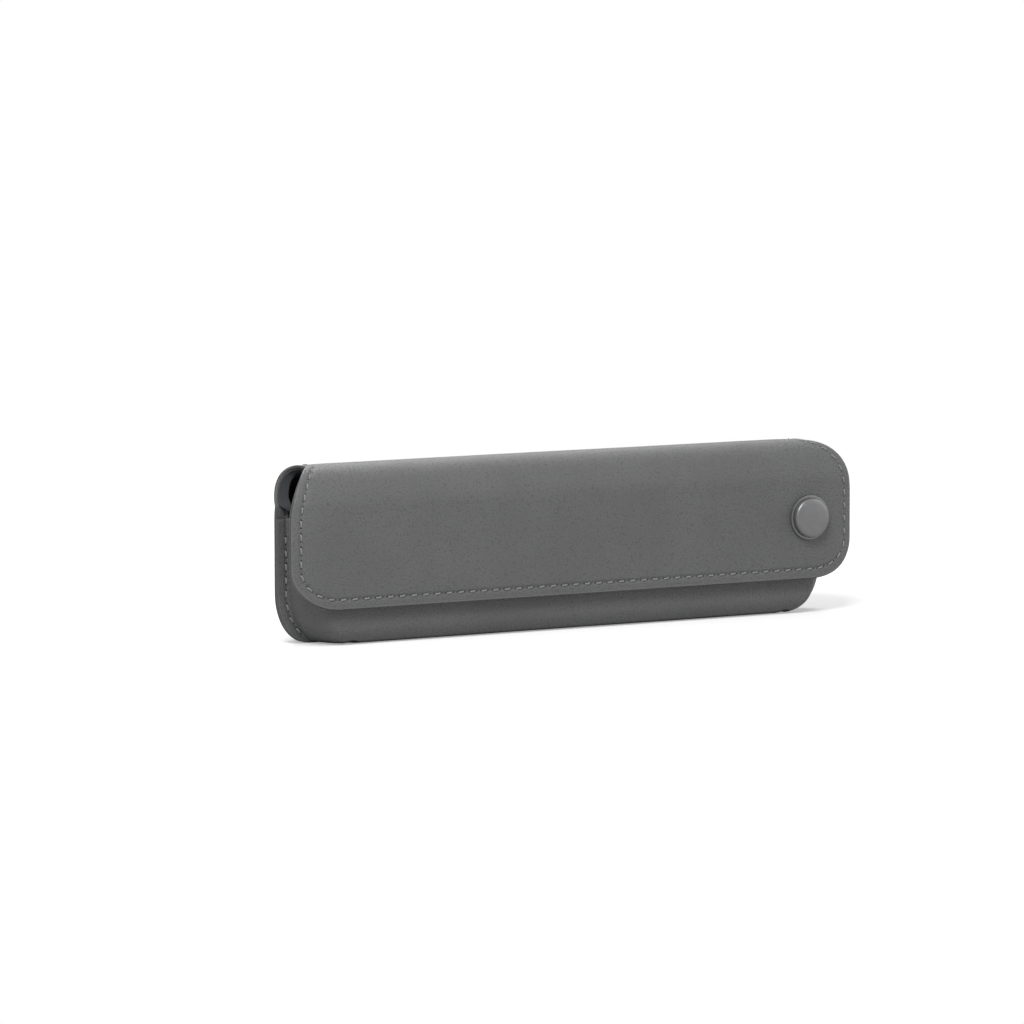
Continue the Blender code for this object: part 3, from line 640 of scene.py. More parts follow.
@dataclass(frozen=True)
class Finish:
    """A finish: the record's slot it belongs to and its shader.

    Its shades are shares of its colour, in its darkest and in its lightest places.
    """

    name: str
    slot: str
    colour: Colour
    roughness: float
    shades: tuple[float, float] = (1.0, 1.0)

    def start(self, **values: Value) -> tuple[bpy.types.Material, Nodes, bpy.types.Node]:
        """Make the material with its surface shader.

        Args:
            values: More inputs of the shader, with _ for each space in their names.

        Returns:
            The material, its nodes and the Principled node.
        """
        made = bpy.data.materials.new(self.name)
        made.use_nodes = True
        nodes = Nodes(made.node_tree)
        shader = nodes.add("BsdfPrincipled", {
            "Roughness": self.roughness, "Base Color": tint(self.colour),
            **{label.replace("_", " "): value for label, value in values.items()}})
        nodes.add("OutputMaterial", {"Surface": shader.outputs[0]})
        return made, nodes, shader

    def material(self) -> bpy.types.Material:
        """The finish's material, made on first use."""
        return bpy.data.materials.get(self.name) or self.make()

    def make(self) -> bpy.types.Material:
        """Make the material, as each kind of finish does."""
        raise NotImplementedError

    def tones(self, nodes: Nodes, share: Value) -> Socket:
        """The finish's colour, from its dark shade to its light one."""
        return nodes.mix(share, *(tint(self.colour, shade) for shade in self.shades))

    @staticmethod
    def place(nodes: Nodes) -> Socket:
        """Object coordinates."""
        return nodes.add("TexCoord").outputs["Object"]

    @staticmethod
    def sheet_place(nodes: Nodes) -> Socket:
        """The UV map, in metres on the flat sheet."""
        return nodes.add("UVMap", uv_map="sheet").outputs[0]

    @staticmethod
    def measure(nodes: Nodes, name: str) -> Socket:
        """A number that the piece's mesh holds at each of its points."""
        return nodes.add("Attribute", attribute_name=name).outputs["Fac"]

    @staticmethod
    def use(nodes: Nodes, effect: Effect, place: Socket, **values: float) -> bpy.types.Node:
        """Place a shared group.

        Args:
            nodes: The material's nodes.
            effect: The group.
            place: Where it reads.
            values: Its inputs, with _ for each space in their names.

        Returns:
            The group's node.
        """
        node = nodes.add("Group", node_tree=effect.group())
        nodes.feed(place, node.inputs["Place"])
        for label, value in values.items():
            nodes.feed(value, node.inputs[label.replace("_", " ")])
        return node

    @staticmethod
    def relief(nodes: Nodes, shader: bpy.types.Node, height: Socket, distance: float,
               strength: float = 1.0, normal: Optional[Socket] = None) -> Socket:
        """Turn a height into a normal and link it to the shader.

        Args:
            nodes: The material's nodes.
            shader: The Principled node.
            height: The height, from 0 to about 1.
            distance: The relief's depth at a height of 1.
            strength: How strongly it shows.
            normal: A normal from a broader relief, or None.

        Returns:
            The normal.
        """
        values = {"Height": height, "Distance": distance, "Strength": strength}
        if normal is not None:
            values["Normal"] = normal
        bump = nodes.add("Bump", values)
        nodes.feed(bump.outputs[0], shader.inputs["Normal"])
        return bump.outputs[0]


@dataclass(frozen=True)
class Leather(Finish):
    """Pebbled leather with painted, rubbed edges and sewing puckers; painted shade darkens its grain's
    creases and its needle holes.

    Runs are where an effect starts and ends, in millimetres from the cut edge, the seam's line or
    a needle hole. Shares are of the colour.
    """

    shades: tuple[float, float] = (0.95, 1.05)
    edge_colour: Colour = (0.051, 0.051, 0.053)
    cells: float = 1300.0
    painted_crease_shade_share: float = 0.76
    grain_depth: float = 0.00013
    paint_run: tuple[float, float] = (0.12, 0.30)
    rub_run: tuple[float, float] = (0.3, 1.2)
    rub_share: float = 1.5
    rubbed_off: float = 0.25
    pitch: float = STITCH_PITCH / MM
    hole_place: float = 1.45
    hole_run: tuple[float, float] = (0.12, 0.55)
    hole_painted_shade_share: float = 0.4
    pucker_run: tuple[float, float] = (0.1, 1.1)
    pucker_depth: float = 0.00014

    def needle_hole(self, nodes: Nodes, across: Socket) -> Socket:
        """The holes at the ends of each stitch, as a mask for their dip and their painted shade.

        Args:
            nodes: The material's nodes.
            across: Distance from the seam's line.

        Returns:
            0 in a hole to 1 beside it.
        """
        number = self.measure(nodes, "stitch")
        share = nodes.math("FRACT", nodes.math("ADD", number, 0.5))
        middle = nodes.math("MULTIPLY", nodes.math("ABSOLUTE", nodes.math("SUBTRACT", share, 0.5)),
                            self.pitch)
        aside = nodes.math("SUBTRACT", middle, self.hole_place)
        squares = [nodes.math("POWER", way, 2.0) for way in (aside, across)]
        return nodes.ramp(nodes.math("SQRT", nodes.math("ADD", *squares)), *self.hole_run)

    def make(self) -> bpy.types.Material:
        """Make the material.

        Returns:
            The material.
        """
        made, nodes, shader = self.start(Specular_IOR_Level=0.42)
        grain = self.use(nodes, Effect.PEBBLE, self.place(nodes), Cells_per_metre=self.cells)
        height, mottle = grain.outputs["Height"], grain.outputs["Mottle"]
        edge = self.measure(nodes, "edge_mm")
        across = nodes.math("ABSOLUTE", self.measure(nodes, "seam_mm"))
        base = self.tones(nodes, nodes.ramp(mottle, 0.35, 0.65))
        # Painted shade: the grain's creases are darker than its pebbles.
        painted_crease_shade = tint(self.colour, self.painted_crease_shade_share)
        with_painted_crease_shade = nodes.mix(nodes.ramp(height, 0.1, 0.8), painted_crease_shade, base)
        painted = nodes.ramp(edge, *self.paint_run, 1.0, 0.0)
        rubbed = nodes.ramp(edge, *self.rub_run, 1.0, 0.0)
        worn = nodes.mix(nodes.math("MULTIPLY", rubbed, self.rubbed_off), with_painted_crease_shade,
                         tint(self.colour, self.rub_share))
        coated = nodes.mix(painted, worn, tint(self.edge_colour))
        hole = self.needle_hole(nodes, across)
        # Painted shade: each needle hole is darkened towards the edge paint's colour.
        nodes.feed(nodes.mix(hole, tint(self.edge_colour, self.hole_painted_shade_share), coated),
                   shader.inputs["Base Color"])
        dull = nodes.math("ADD", nodes.ramp(height, 0.1, 0.9, 0.16, 0.0), self.roughness)
        gloss = nodes.math("SUBTRACT", dull, nodes.math("MULTIPLY", rubbed, 0.1))
        nodes.feed(gloss, shader.inputs["Roughness"])
        pucker = nodes.math("ADD", nodes.ramp(across, *self.pucker_run), hole)
        ironed = nodes.math("MULTIPLY", height, nodes.math("SUBTRACT", 1.0, painted))
        broad = self.relief(nodes, shader, pucker, self.pucker_depth)
        self.relief(nodes, shader, ironed, self.grain_depth, 0.9, broad)
        return made


@dataclass(frozen=True)
class Cloth(Finish):
    """Plain-woven lining with slubs, thicker stretches of its threads, and painted shade between its
    threads.
    """

    shades: tuple[float, float] = (0.6, 1.2)
    threads: float = 3000.0
    slubs: float = 160.0
    thread_depth: float = 0.00005

    def make(self) -> bpy.types.Material:
        """Make the material.

        Returns:
            The material.
        """
        made, nodes, shader = self.start(Sheen_Weight=0.06, Sheen_Roughness=0.5)
        weave = self.use(nodes, Effect.WEAVE, self.sheet_place(nodes),
                         Threads_per_metre_U=self.threads, Threads_per_metre_V=self.threads)
        slub = nodes.ramp(nodes.noise(self.place(nodes), self.slubs, 4.0), 0.2, 0.8, 0.75, 1.0)
        # Painted shade: the colour follows the weave's height, darker between the threads, times the
        # slubs' real tone.
        lit = nodes.math("MULTIPLY", weave.outputs["Height"], slub)
        nodes.feed(self.tones(nodes, lit), shader.inputs["Base Color"])
        self.relief(nodes, shader, weave.outputs["Height"], self.thread_depth, 0.6)
        return made


@dataclass(frozen=True)
class Ribbed(Finish):
    """Ribbed tape or webbing, with painted shade in the hollows between its ribs and threads."""

    shades: tuple[float, float] = (0.4, 1.3)
    ribs: float = 1400.0
    threads: float = 5000.0
    rib_depth: float = 0.00012

    def make(self) -> bpy.types.Material:
        """Make the material.

        Returns:
            The material.
        """
        made, nodes, shader = self.start(Sheen_Weight=0.2)
        rib = self.use(nodes, Effect.RIB, self.sheet_place(nodes), Ribs_per_metre=self.ribs,
                       Threads_per_metre=self.threads)
        # Painted shade: the colour follows the height of the ribs and threads, darker in the hollows.
        shade = nodes.math("ADD", nodes.math("MULTIPLY", rib.outputs["Height"], 0.6),
                           nodes.math("MULTIPLY", rib.outputs["Thread"], 0.25), clamp=True)
        nodes.feed(self.tones(nodes, shade), shader.inputs["Base Color"])
        self.relief(nodes, shader, rib.outputs["Height"], self.rib_depth, 0.9)
        return made


@dataclass(frozen=True)
class Fibrous(Finish):
    """Something made of fine fibres without a pattern, such as bonded thread or board."""

    fibres: float = 3000.0
    detail: float = 3.0
    fibre_depth: float = 0.00005
    strength: float = 0.6
    sheen: float = 0.0

    def make(self) -> bpy.types.Material:
        """Make the material.

        Returns:
            The material.
        """
        made, nodes, shader = self.start(Sheen_Weight=self.sheen)
        fibre = nodes.noise(self.place(nodes), self.fibres, self.detail)
        nodes.feed(self.tones(nodes, fibre), shader.inputs["Base Color"])
        self.relief(nodes, shader, fibre, self.fibre_depth, self.strength)
        return made


@dataclass(frozen=True)
class Metal(Finish):
    """Lacquered or plated metal with fine rubbing marks."""

    shades: tuple[float, float] = (0.92, 1.08)
    metallic: float = 1.0
    coat: float = 0.0
    hazes: float = 420.0
    marks: float = 6000.0
    mark_depth: float = 0.00001

    def make(self) -> bpy.types.Material:
        """Make the material.

        Returns:
            The material.
        """
        made, nodes, shader = self.start(Metallic=self.metallic, Coat_Weight=self.coat,
                                         Coat_Roughness=0.2)
        place = self.place(nodes)
        haze = nodes.noise(place, self.hazes, 5.0)
        rough = nodes.math("ADD", nodes.ramp(haze, 0.3, 0.7, -0.06, 0.08), self.roughness)
        nodes.feed(rough, shader.inputs["Roughness"])
        nodes.feed(self.tones(nodes, haze), shader.inputs["Base Color"])
        self.relief(nodes, shader, nodes.noise(place, self.marks, 2.0), self.mark_depth, 0.25)
        return made


LEATHER = Leather("grained_leather", "leather", (0.115, 0.116, 0.118), 0.50)
LINING = Cloth("woven_lining", "lining", (0.045, 0.047, 0.052), 0.85)
TAPE = Ribbed("grosgrain_tape", "lining", (0.050, 0.052, 0.057), 0.80, ribs=1500.0, threads=4200.0)
ELASTIC = Ribbed("elastic_webbing", "elastic", (0.022, 0.022, 0.024), 0.78, ribs=900.0,
                 threads=2600.0)
THREAD = Fibrous("sewing_thread", "thread", (0.217, 0.218, 0.221), 0.62, (0.7, 1.25), sheen=0.15)
CARD = Fibrous("grey_board", "greyboard", (0.300, 0.285, 0.255), 0.90, (0.8, 1.15), fibres=1500.0,
               detail=6.0, strength=0.4)
LACQUER = Metal("lacquered_snap", "snap_metal", (0.172, 0.173, 0.176), 0.36, metallic=0.65,
                coat=0.15)
DARK_METAL = Metal("dark_eyelet", "vent_metal", (0.012, 0.012, 0.013), 0.42, metallic=0.2)
STEEL = Metal("plated_steel", "bright_metal", (0.560, 0.560, 0.570), 0.27)


def as_data(name: str, mesh: bmesh.types.BMesh) -> bpy.types.Mesh:
    """Turn a bmesh into mesh data.

    Args:
        name: The data's name.
        mesh: The bmesh, which is freed.

    Returns:
        The data.
    """
    data = bpy.data.meshes.new(name)
    mesh.to_mesh(data)
    mesh.free()
    return data


def in_scene(name: str, data: bpy.types.ID) -> bpy.types.Object:
    """Put data in the scene.

    Args:
        name: The object's name.
        data: Its mesh, lamp or camera.

    Returns:
        The object.
    """
    made = bpy.data.objects.new(name, data)
    bpy.context.scene.collection.objects.link(made)
    return made


def finished(name: str, mesh: bmesh.types.BMesh, finish: Finish, replaces: Iterable[str],
             rides: Optional[Body] = None, angle: float = 40.0) -> bpy.types.Object:
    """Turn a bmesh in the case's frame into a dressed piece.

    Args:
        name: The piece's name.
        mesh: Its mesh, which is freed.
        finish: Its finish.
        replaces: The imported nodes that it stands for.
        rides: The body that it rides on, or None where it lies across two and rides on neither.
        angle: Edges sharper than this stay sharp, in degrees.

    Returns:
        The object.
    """
    data = as_data(name, mesh)
    data.shade_smooth()
    data.set_sharp_from_angle(angle=math.radians(angle))
    data.materials.append(finish.material())
    piece = in_scene(name, data)
    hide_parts(*replaces)
    if rides:
        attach(piece, rides.value)
    LOG.info("%s: %d faces", name, len(data.polygons))
    return piece


# Flat sheets and the stitches through them. FAR is a distance in millimetres that is past any edge
# or seam that a finish looks for.

FAR = 20.0


def tree_of(places: Pairs) -> kdtree.KDTree:
    """Make a search tree of places on a flat sheet.

    Args:
        places: The places.

    Returns:
        The tree, which finds them by x, s and 0.
    """
    tree = kdtree.KDTree(len(places))
    for index, (x, s) in enumerate(places):
        tree.insert((x, s, 0), index)
    tree.balance()
    return tree


@dataclass(frozen=True)
class SeamPlace:
    """A place on a stitch line of a flat sheet, with the line's way and inner side there."""

    place: Vector
    along: Vector
    side: float
    length: float
    pitch: float
    end: float


class SeamLine:
    """How far across and along stitch lines a place on the flat sheet lies."""

    def __init__(self, runs: Iterable["StitchRun"]) -> None:
        """Measure the stitch lines.

        Args:
            runs: The runs that are sewn through the sheet.
        """
        self.found: list[SeamPlace] = []
        runs = list(runs)
        heights = [s for run in runs for x, s in run.places]
        middle = (min(heights) + max(heights)) / 2
        for run in runs:
            lengths, start = run.measured()
            places = [Vector(place) for place in run.places]
            half = len(places) // 2
            inwards = Vector((0, middle)) - places[half]
            side = math.copysign(1, (places[half + 1] - places[half - 1]).cross(inwards))
            end = (lengths[-1] - 2 * start) / run.pitch + 0.5
            for index, place in enumerate(places):
                along = places[min(index + 1, len(places) - 1)] - places[max(index - 1, 0)]
                self.found.append(SeamPlace(place, along.normalized(), side,
                                            lengths[index] - start, run.pitch, end))
        self.tree = tree_of([tuple(seam.place) for seam in self.found])

    def of(self, x: float, s: float) -> tuple[float, float]:
        """Where a place lies.

        Args:
            x: Place along the case.
            s: Length along the sheet.

        Returns:
            The distance across in millimetres, below zero on the seam's inner side, and the way
            along in stitches, which goes no further than half a stitch past the first and last.
        """
        near = self.found[self.tree.find((x, s, 0))[1]]
        off = Vector((x, s)) - near.place
        number = (near.length + near.along.dot(off)) / near.pitch
        return -near.side * near.along.cross(off) / MM, min(max(number, -0.5), near.end)


class Distance:
    """Distance on the flat sheet from a line of points, in millimetres."""

    def __init__(self, points: Pairs) -> None:
        """Keep the line.

        Args:
            points: The line's points, close together.
        """
        self.tree = tree_of(points)

    def of(self, x: float, s: float) -> float:
        """The distance of a place, no more than FAR."""
        return min(self.tree.find((x, s, 0))[2] / MM, FAR)


EDGE_INSETS = [0.0, 0.02 * MM, 0.07 * MM, 0.15 * MM, 0.25 * MM]


def edge_insets(*runs: tuple[float, float]) -> list[float]:
    """Insets from a cut edge at which a sheet has points.

    Args:
        runs: How far from the edge each run of insets goes, and its step.

    Returns:
        The insets, rising.
    """
    return joined(EDGE_INSETS, stretches(EDGE_INSETS[-1], *runs))


@dataclass
class Sheet:
    """A sheet laid over a form, with rounded edges.

    Each row is one s. Along it the points lie at the insets from both ends, and evenly between.
    Its top is its outer face's depth, or a function of s that gives it, and edges says whether
    its first and its last row are cut edges.
    """

    rows: list[float]
    insets: list[float]
    middle_step: float
    outline: Outline
    form: Form
    thickness: float
    top: Union[float, Outline] = 0.0
    round_edge: float = 0.00025
    edges: tuple[bool, bool] = (True, True)
    sewn: Iterable["StitchRun"] = ()
    pucker: float = 0.00022
    pucker_reach: float = 0.75
    relief: Callable[[float, float], float] = field(default=lambda x, s: 0.0)
    border_step: float = 0.15 * MM

    def places(self, s: float) -> list[float]:
        """The places along a row.

        Args:
            s: The row.

        Returns:
            Each place's x, rising.
        """
        half = self.outline(s)
        ends = [half - inset for inset in self.insets]
        widest = max(self.outline(row) for row in self.rows) - self.insets[-1]
        count = max(2, round(2 * widest / self.middle_step))
        middle = [ends[-1] * (2 * index / count - 1) for index in range(1, count)]
        return [-x for x in ends] + middle + ends[::-1]

    def border(self) -> Pairs:
        """Points close together on the sheet's cut edges.

        Returns:
            Their x and s.
        """
        first, last = self.rows[0], self.rows[-1]
        side = [Vector((self.outline(s), s))
                for s in joined(spread(first, last, self.border_step), self.rows)]
        points = []
        for here, there in zip(side, side[1:]):
            for share in spread(0, 1, self.border_step / (there - here).length):
                x, s = here.lerp(there, share)
                points += [(x, s), (-x, s)]
        for s, is_cut in zip((first, last), self.edges):
            if is_cut:
                half = self.outline(s)
                points += [(x, s) for x in spread(-half, half, 2 * self.border_step)]
        return points

    def mesh(self) -> bmesh.types.BMesh:
        """Make the sheet.

        Returns:
            A closed mesh with a UV map in metres, the distances edge_mm and seam_mm, and stitch,
            the way along the seam in stitches.
        """
        table = [self.places(s) for s in self.rows]
        columns = len(table[0])
        mesh = bmesh.new()
        bmesh.ops.create_grid(
            mesh, x_segments=columns - 1, y_segments=len(self.rows) - 1, size=1)
        upper = len(mesh.verts)
        bmesh.ops.extrude_face_region(mesh, geom=mesh.faces[:])
        edge_mm = mesh.verts.layers.float.new("edge_mm")
        seam_mm = mesh.verts.layers.float.new("seam_mm")
        stitch = mesh.verts.layers.float.new("stitch")
        sheet = mesh.loops.layers.uv.new("sheet")
        border = Distance(self.border())
        seam = SeamLine(self.sewn) if self.sewn else None
        flat = {}
        for index, vert in enumerate(mesh.verts):
            column = round((vert.co.x + 1) / 2 * (columns - 1))
            row = round((vert.co.y + 1) / 2 * (len(self.rows) - 1))
            x, s = table[row][column], self.rows[row]
            flat[vert] = (x, s)
            near = border.of(x, s)
            sewn, number = seam.of(x, s) if seam else (FAR, 0.0)
            vert[edge_mm], vert[seam_mm], vert[stitch] = near, sewn, number
            rounding = self.rounding(near * MM)
            top = self.top(s) if callable(self.top) else self.top
            if index >= upper:
                depth = top + self.thickness - rounding
            else:
                sunk = self.pucker * math.exp(-(sewn / self.pucker_reach) ** 2) + self.relief(x, s)
                depth = top + rounding + sunk
            vert.co = self.form(x, s, depth)
        for face in mesh.faces:
            for loop in face.loops:
                loop[sheet].uv = flat[loop.vert]
        bmesh.ops.recalc_face_normals(mesh, faces=mesh.faces[:])
        return mesh

    def declare(self) -> None:
        """Work out the sheet's width at each of its rows; the widths are not kept or said.
        """
        widths = [2 * self.outline(s) for s in self.rows]

    def rounding(self, near: float) -> float:
        """How far the face drops beside a cut edge.

        Args:
            near: Distance from the edge.

        Returns:
            The drop.
        """
        if near >= self.round_edge:
            return 0.0
        share = 1 - near / self.round_edge
        return self.round_edge * (1 - math.sqrt(1 - share * share))


@dataclass
class StitchRun:
    """A row of stitches along places on a sheet.

    The slant is in degrees. The strands, their twist in radians from a stitch's middle to its end,
    their swell, and how the ends get slim and dive, are what the thread's own shape takes.
    """

    places: Pairs
    form: Form
    pitch: float = STITCH_PITCH
    length: float = 0.0027
    radius: float = 0.00033
    slant: float = 7.0
    lift: float = -0.00012
    strands: int = 3
    twist: float = 12.6
    swell: float = 0.13
    slim: float = 0.35
    dive: float = 1.5

    def master(self) -> bpy.types.Mesh:
        """One stitch along X: a twisted thread whose ends dive into the sheet.

        Returns:
            Its mesh data.
        """
        mesh = bmesh.new()
        bmesh.ops.create_cone(
            mesh, cap_ends=True, segments=9, radius1=self.radius, radius2=self.radius,
            depth=self.length, matrix=Matrix.Rotation(math.pi / 2, 4, "Y"))
        long = [e for e in mesh.edges if abs(e.verts[0].co.x - e.verts[1].co.x) > 0.5 * MM]
        bmesh.ops.subdivide_edges(mesh, edges=long, cuts=8, use_grid_fill=False)
        for vert in mesh.verts:
            share = 2 * vert.co.x / self.length
            angle = math.atan2(vert.co.z, vert.co.y)
            swell = 1 + self.swell * math.cos(self.strands * angle - self.twist * share)
            slim = 1 - self.slim * abs(share) ** 3
            vert.co.y *= swell * slim
            vert.co.z *= swell * slim
            vert.co.z -= self.dive * self.radius * abs(share) ** 3.2
        bmesh.ops.recalc_face_normals(mesh, faces=mesh.faces[:])
        return as_data("stitch", mesh)

    def measured(self) -> tuple[list[float], float]:
        """Measure the run on its form.

        Returns:
            The length up to each place, and up to the first stitch's middle.
        """
        points = [self.form(x, s, 0) for x, s in self.places]
        lengths = [0.0]
        for here, there in zip(points, points[1:]):
            lengths.append(lengths[-1] + (there - here).length)
        count = int(lengths[-1] / self.pitch)
        return lengths, (lengths[-1] - (count - 1) * self.pitch) / 2

    def frames(self) -> list[Matrix]:
        """Lay the stitches along the run.

        Returns:
            Where each stitch's middle lies, and its turn.
        """
        points = [self.form(x, s, 0) for x, s in self.places]
        lengths, start = self.measured()
        found = []
        index = 1
        for number in range(int(lengths[-1] / self.pitch)):
            place = start + number * self.pitch
            while lengths[index] < place:
                index += 1
            step = lengths[index] - lengths[index - 1]
            share = (place - lengths[index - 1]) / step
            (x0, s0), (x1, s1) = self.places[index - 1:index + 1]
            x, s = x0 + (x1 - x0) * share, s0 + (s1 - s0) * share
            centre = self.form(x, s, 0)
            along = (points[index] - points[index - 1]).normalized()
            out = self.form(x, s, -0.3 * MM) - centre
            out = (out - along * out.dot(along)).normalized()
            across = out.cross(along)
            turn = Matrix((along, across, out)).transposed().to_4x4()
            lean = Matrix.Rotation(math.radians(self.slant), 4, "Z")
            found.append(Matrix.Translation(centre + out * self.lift) @ turn @ lean)
        return found


def repeated(master: bpy.types.Mesh, places: Iterable[Matrix],
             whole: Optional[bmesh.types.BMesh] = None) -> bmesh.types.BMesh:
    """Copies of a mesh.

    Args:
        master: The mesh, which is removed.
        places: Where each copy goes.
        whole: What they are added to.

    Returns:
        The copies in one mesh.
    """
    whole = whole or bmesh.new()
    for placed in places:
        before = len(whole.verts)
        whole.from_mesh(master)
        whole.verts.ensure_lookup_table()
        bmesh.ops.transform(whole, matrix=placed, verts=whole.verts[before:])
    bpy.data.meshes.remove(master)
    return whole


def thread(runs: Iterable[StitchRun]) -> bmesh.types.BMesh:
    """Sew some runs.

    Args:
        runs: The runs.

    Returns:
        All their stitches in one mesh.
    """
    whole = bmesh.new()
    for run in runs:
        repeated(run.master(), run.frames(), whole)
    return whole


@dataclass
class Shell:
    """The outer leather, its lining and its thread.

    The pouch's sheets end at the fold's middle, where the flap's begin. A step is how far apart a
    sheet's rows are on its walls, at its corners and in its bends. A cut is how deep under the
    outer face a hole's cutter starts and ends.
    """

    inset: float = 0.0037
    seam_foot: float = 0.0012
    seam_turn: float = 75.0
    end_gap: float = 0.0006
    plain_depth: float = 0.00122
    flap_cloth: float = 0.00088
    cloth_edge: float = 0.0002
    cloth_inset: float = 0.0008
    seam_inset: float = 0.0068
    depth_run: tuple[float, float] = (-0.0035, 0.004)
    inset_run: tuple[float, float] = (-0.0042, 0.001)
    blend_run: float = 0.007
    vent_hole: float = 0.0039
    vent_cut: tuple[float, float] = (-0.001, 0.0022)
    cloth_vent_hole: float = 0.0024
    cloth_vent_cut: tuple[float, float] = (0.0018, 0.0044)
    snap_hole: float = 0.0034
    snap_cut: tuple[float, float] = (-0.001, 0.0020)
    cloth_snap_cut: tuple[float, float] = (0.0005, 0.0030)
    wave: float = 0.00016
    ripple: float = 0.00005
    calm: float = 0.008
    hollow: float = 0.00030
    hollow_reach: float = 0.010
    wall_step: float = 0.0020
    flap_step: float = 0.0016
    corner_step: float = 0.0010
    bend_step: float = 0.0008
    line_step: float = 0.0005
    bend_margin: float = 0.008
    flap_corner_rows: float = 0.022

    def seam_places(self) -> dict[str, Pairs]:
        """Lay out the stitch lines of the pouch's right end on its flat sheet.

        Returns:
            The front's line and the back's.
        """
        form = FORM
        run, rise = form.base_corner
        wall = [(form.pouch_at(z) - self.inset, z)
                for z in spread(form.mouth - self.inset, rise, self.line_step)]
        turn = math.radians(self.seam_turn)
        wall += [(form.pouch_half - run + (run - self.inset) * math.cos(angle),
                  rise - (rise - self.inset) * math.sin(angle))
                 for angle in spread(0, turn, turn / 40)[1:]]
        wall = [(x, z) for x, z in wall if z > form.base_radius]
        (x0, z0), (x1, z1) = wall[-2:]
        slope = (x1 - x0) / (z1 - z0)
        wall += [(x1 + slope * (z - z1), z) for z in spread(z1, self.seam_foot, self.line_step)[1:]]
        front = [(x, form.front_at(z)) for x, z in wall]
        back = [(x, form.back_at(z)) for x, z in reversed(wall)]
        end = form.back_end + form.half_fold - self.end_gap
        top = [(form.pouch_outline(s) - self.inset, s)
               for s in spread(back[-1][1], end, self.line_step)]
        return {"front": front, "back": back + top[1:]}

    def seam_runs(self) -> dict[tuple[Side, str], StitchRun]:
        """The pouch's stitch runs, by end and face."""
        return {(side, face): StitchRun([(side.value * x, s) for x, s in places], FORM.pouch_point)
                for side in Side for face, places in self.seam_places().items()}

    def flap_places(self) -> Pairs:
        """Lay out the flap's stitch line: over the fold, down the left end, along and up again.

        Returns:
            Its places on the flap's flat sheet.
        """
        form = FORM
        run, rise = form.flap_corner
        corner = form.flap_length - rise
        side = form.flap_half - run
        left = [(self.inset - form.flap_outline(s), s)
                for s in spread(self.end_gap, corner, self.line_step)]
        left += [(-side - (run - self.inset) * math.cos(angle),
                  corner + (rise - self.inset) * math.sin(angle))
                 for angle in spread(0, math.pi / 2, math.pi / 120)[1:]]
        bottom = [(x, form.flap_length - self.inset) for x in spread(-side, side, self.line_step)]
        return left + bottom[1:-1] + [(-x, s) for x, s in reversed(left)]

    def pouch_rows(self) -> list[float]:
        """Lay out the rows of the pouch's sheet, close together in bends and corners.

        Returns:
            The rows.
        """
        form = FORM
        corner = form.base_corner[1] - form.base_radius
        return joined(EDGE_INSETS, stretches(
            0, (form.front - corner, self.wall_step), (form.front, self.corner_step),
            (form.base_start, self.bend_step), (form.base_end, self.wall_step),
            (form.back_start, self.bend_step), (form.back_start + corner, self.corner_step),
            (form.back_end - self.bend_margin, self.wall_step),
            (form.back_end + form.half_fold, self.bend_step)))

    def flap_rows(self, end: float) -> list[float]:
        """Lay out the rows of the flap's sheet.

        Args:
            end: Where the sheet ends.

        Returns:
            The rows.
        """
        edge = EDGE_INSETS[-1]
        return joined(
            stretches(0, (FORM.half_fold + self.bend_margin, self.bend_step),
                      (end - self.flap_corner_rows, self.flap_step),
                      (end - 4 * edge, self.line_step), (end - edge, edge)),
            [end - inset for inset in EDGE_INSETS])

    def drape(self, x: float, s: float) -> float:
        """Slow unevenness of a sheet that was cut, bonded and sewn by hand.

        Args:
            x: Place along the case.
            s: Length along the sheet.

        Returns:
            How far the face sinks, which is nothing at the fold's middle, where two sheets meet.
        """
        broad = 0.5 + 0.5 * noise.noise(Vector((x * 22, s * 30, 0.3)))
        fine = 0.5 + 0.5 * noise.noise(Vector((x * 90, s * 90, 4.1)))
        near = min(abs(s), abs(FORM.back_end + FORM.half_fold - s))
        return (self.wave * broad + self.ripple * fine) * smooth(0, self.calm, near)

    def flap_relief(self, x: float, s: float) -> float:
        """The flap's unevenness, with the hollow that the snap pulls.

        Args:
            x: Place along the case.
            s: Length along the sheet.

        Returns:
            How far the face sinks.
        """
        down = FORM.half_fold + FORM.hinge - FORM.snap_z
        far = math.hypot(x - FORM.snap_x, s - down)
        return self.drape(x, s) + self.hollow * math.exp(-(far / self.hollow_reach) ** 2)

    def cut_vents(self, piece: bpy.types.Object, radius: float, depths: tuple[float, float]) -> None:
        """Cut the vents' holes through a sheet of the pouch.

        Args:
            piece: The sheet.
            radius: The holes' radius.
            depths: Where the cut starts and ends, as depths under the outer face.
        """
        for side in Side:
            cut(piece, vent_ring(side, 0.0, radius, depths))

    def cut_snap(self, piece: bpy.types.Object, depths: tuple[float, float]) -> None:
        """Cut the snap's hole through a sheet of the flap, between two depths."""
        cut(piece, snap_bar(self.snap_hole, FORM.flap_face - depths[1], FORM.flap_face - depths[0]))

    def bend(self, piece: bpy.types.Object, line: FoldLine) -> None:
        """Bake a piece's transform into its mesh; nothing sets up its bend over the stretch on both
        sides of a fold line.

        Args:
            piece: The piece.
            line: The fold line.
        """
        y, run = FORM.half_depth, self.blend_run
        if line is FoldLine.FRONT:
            y, run = -FORM.flap_face, -run
        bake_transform(piece)

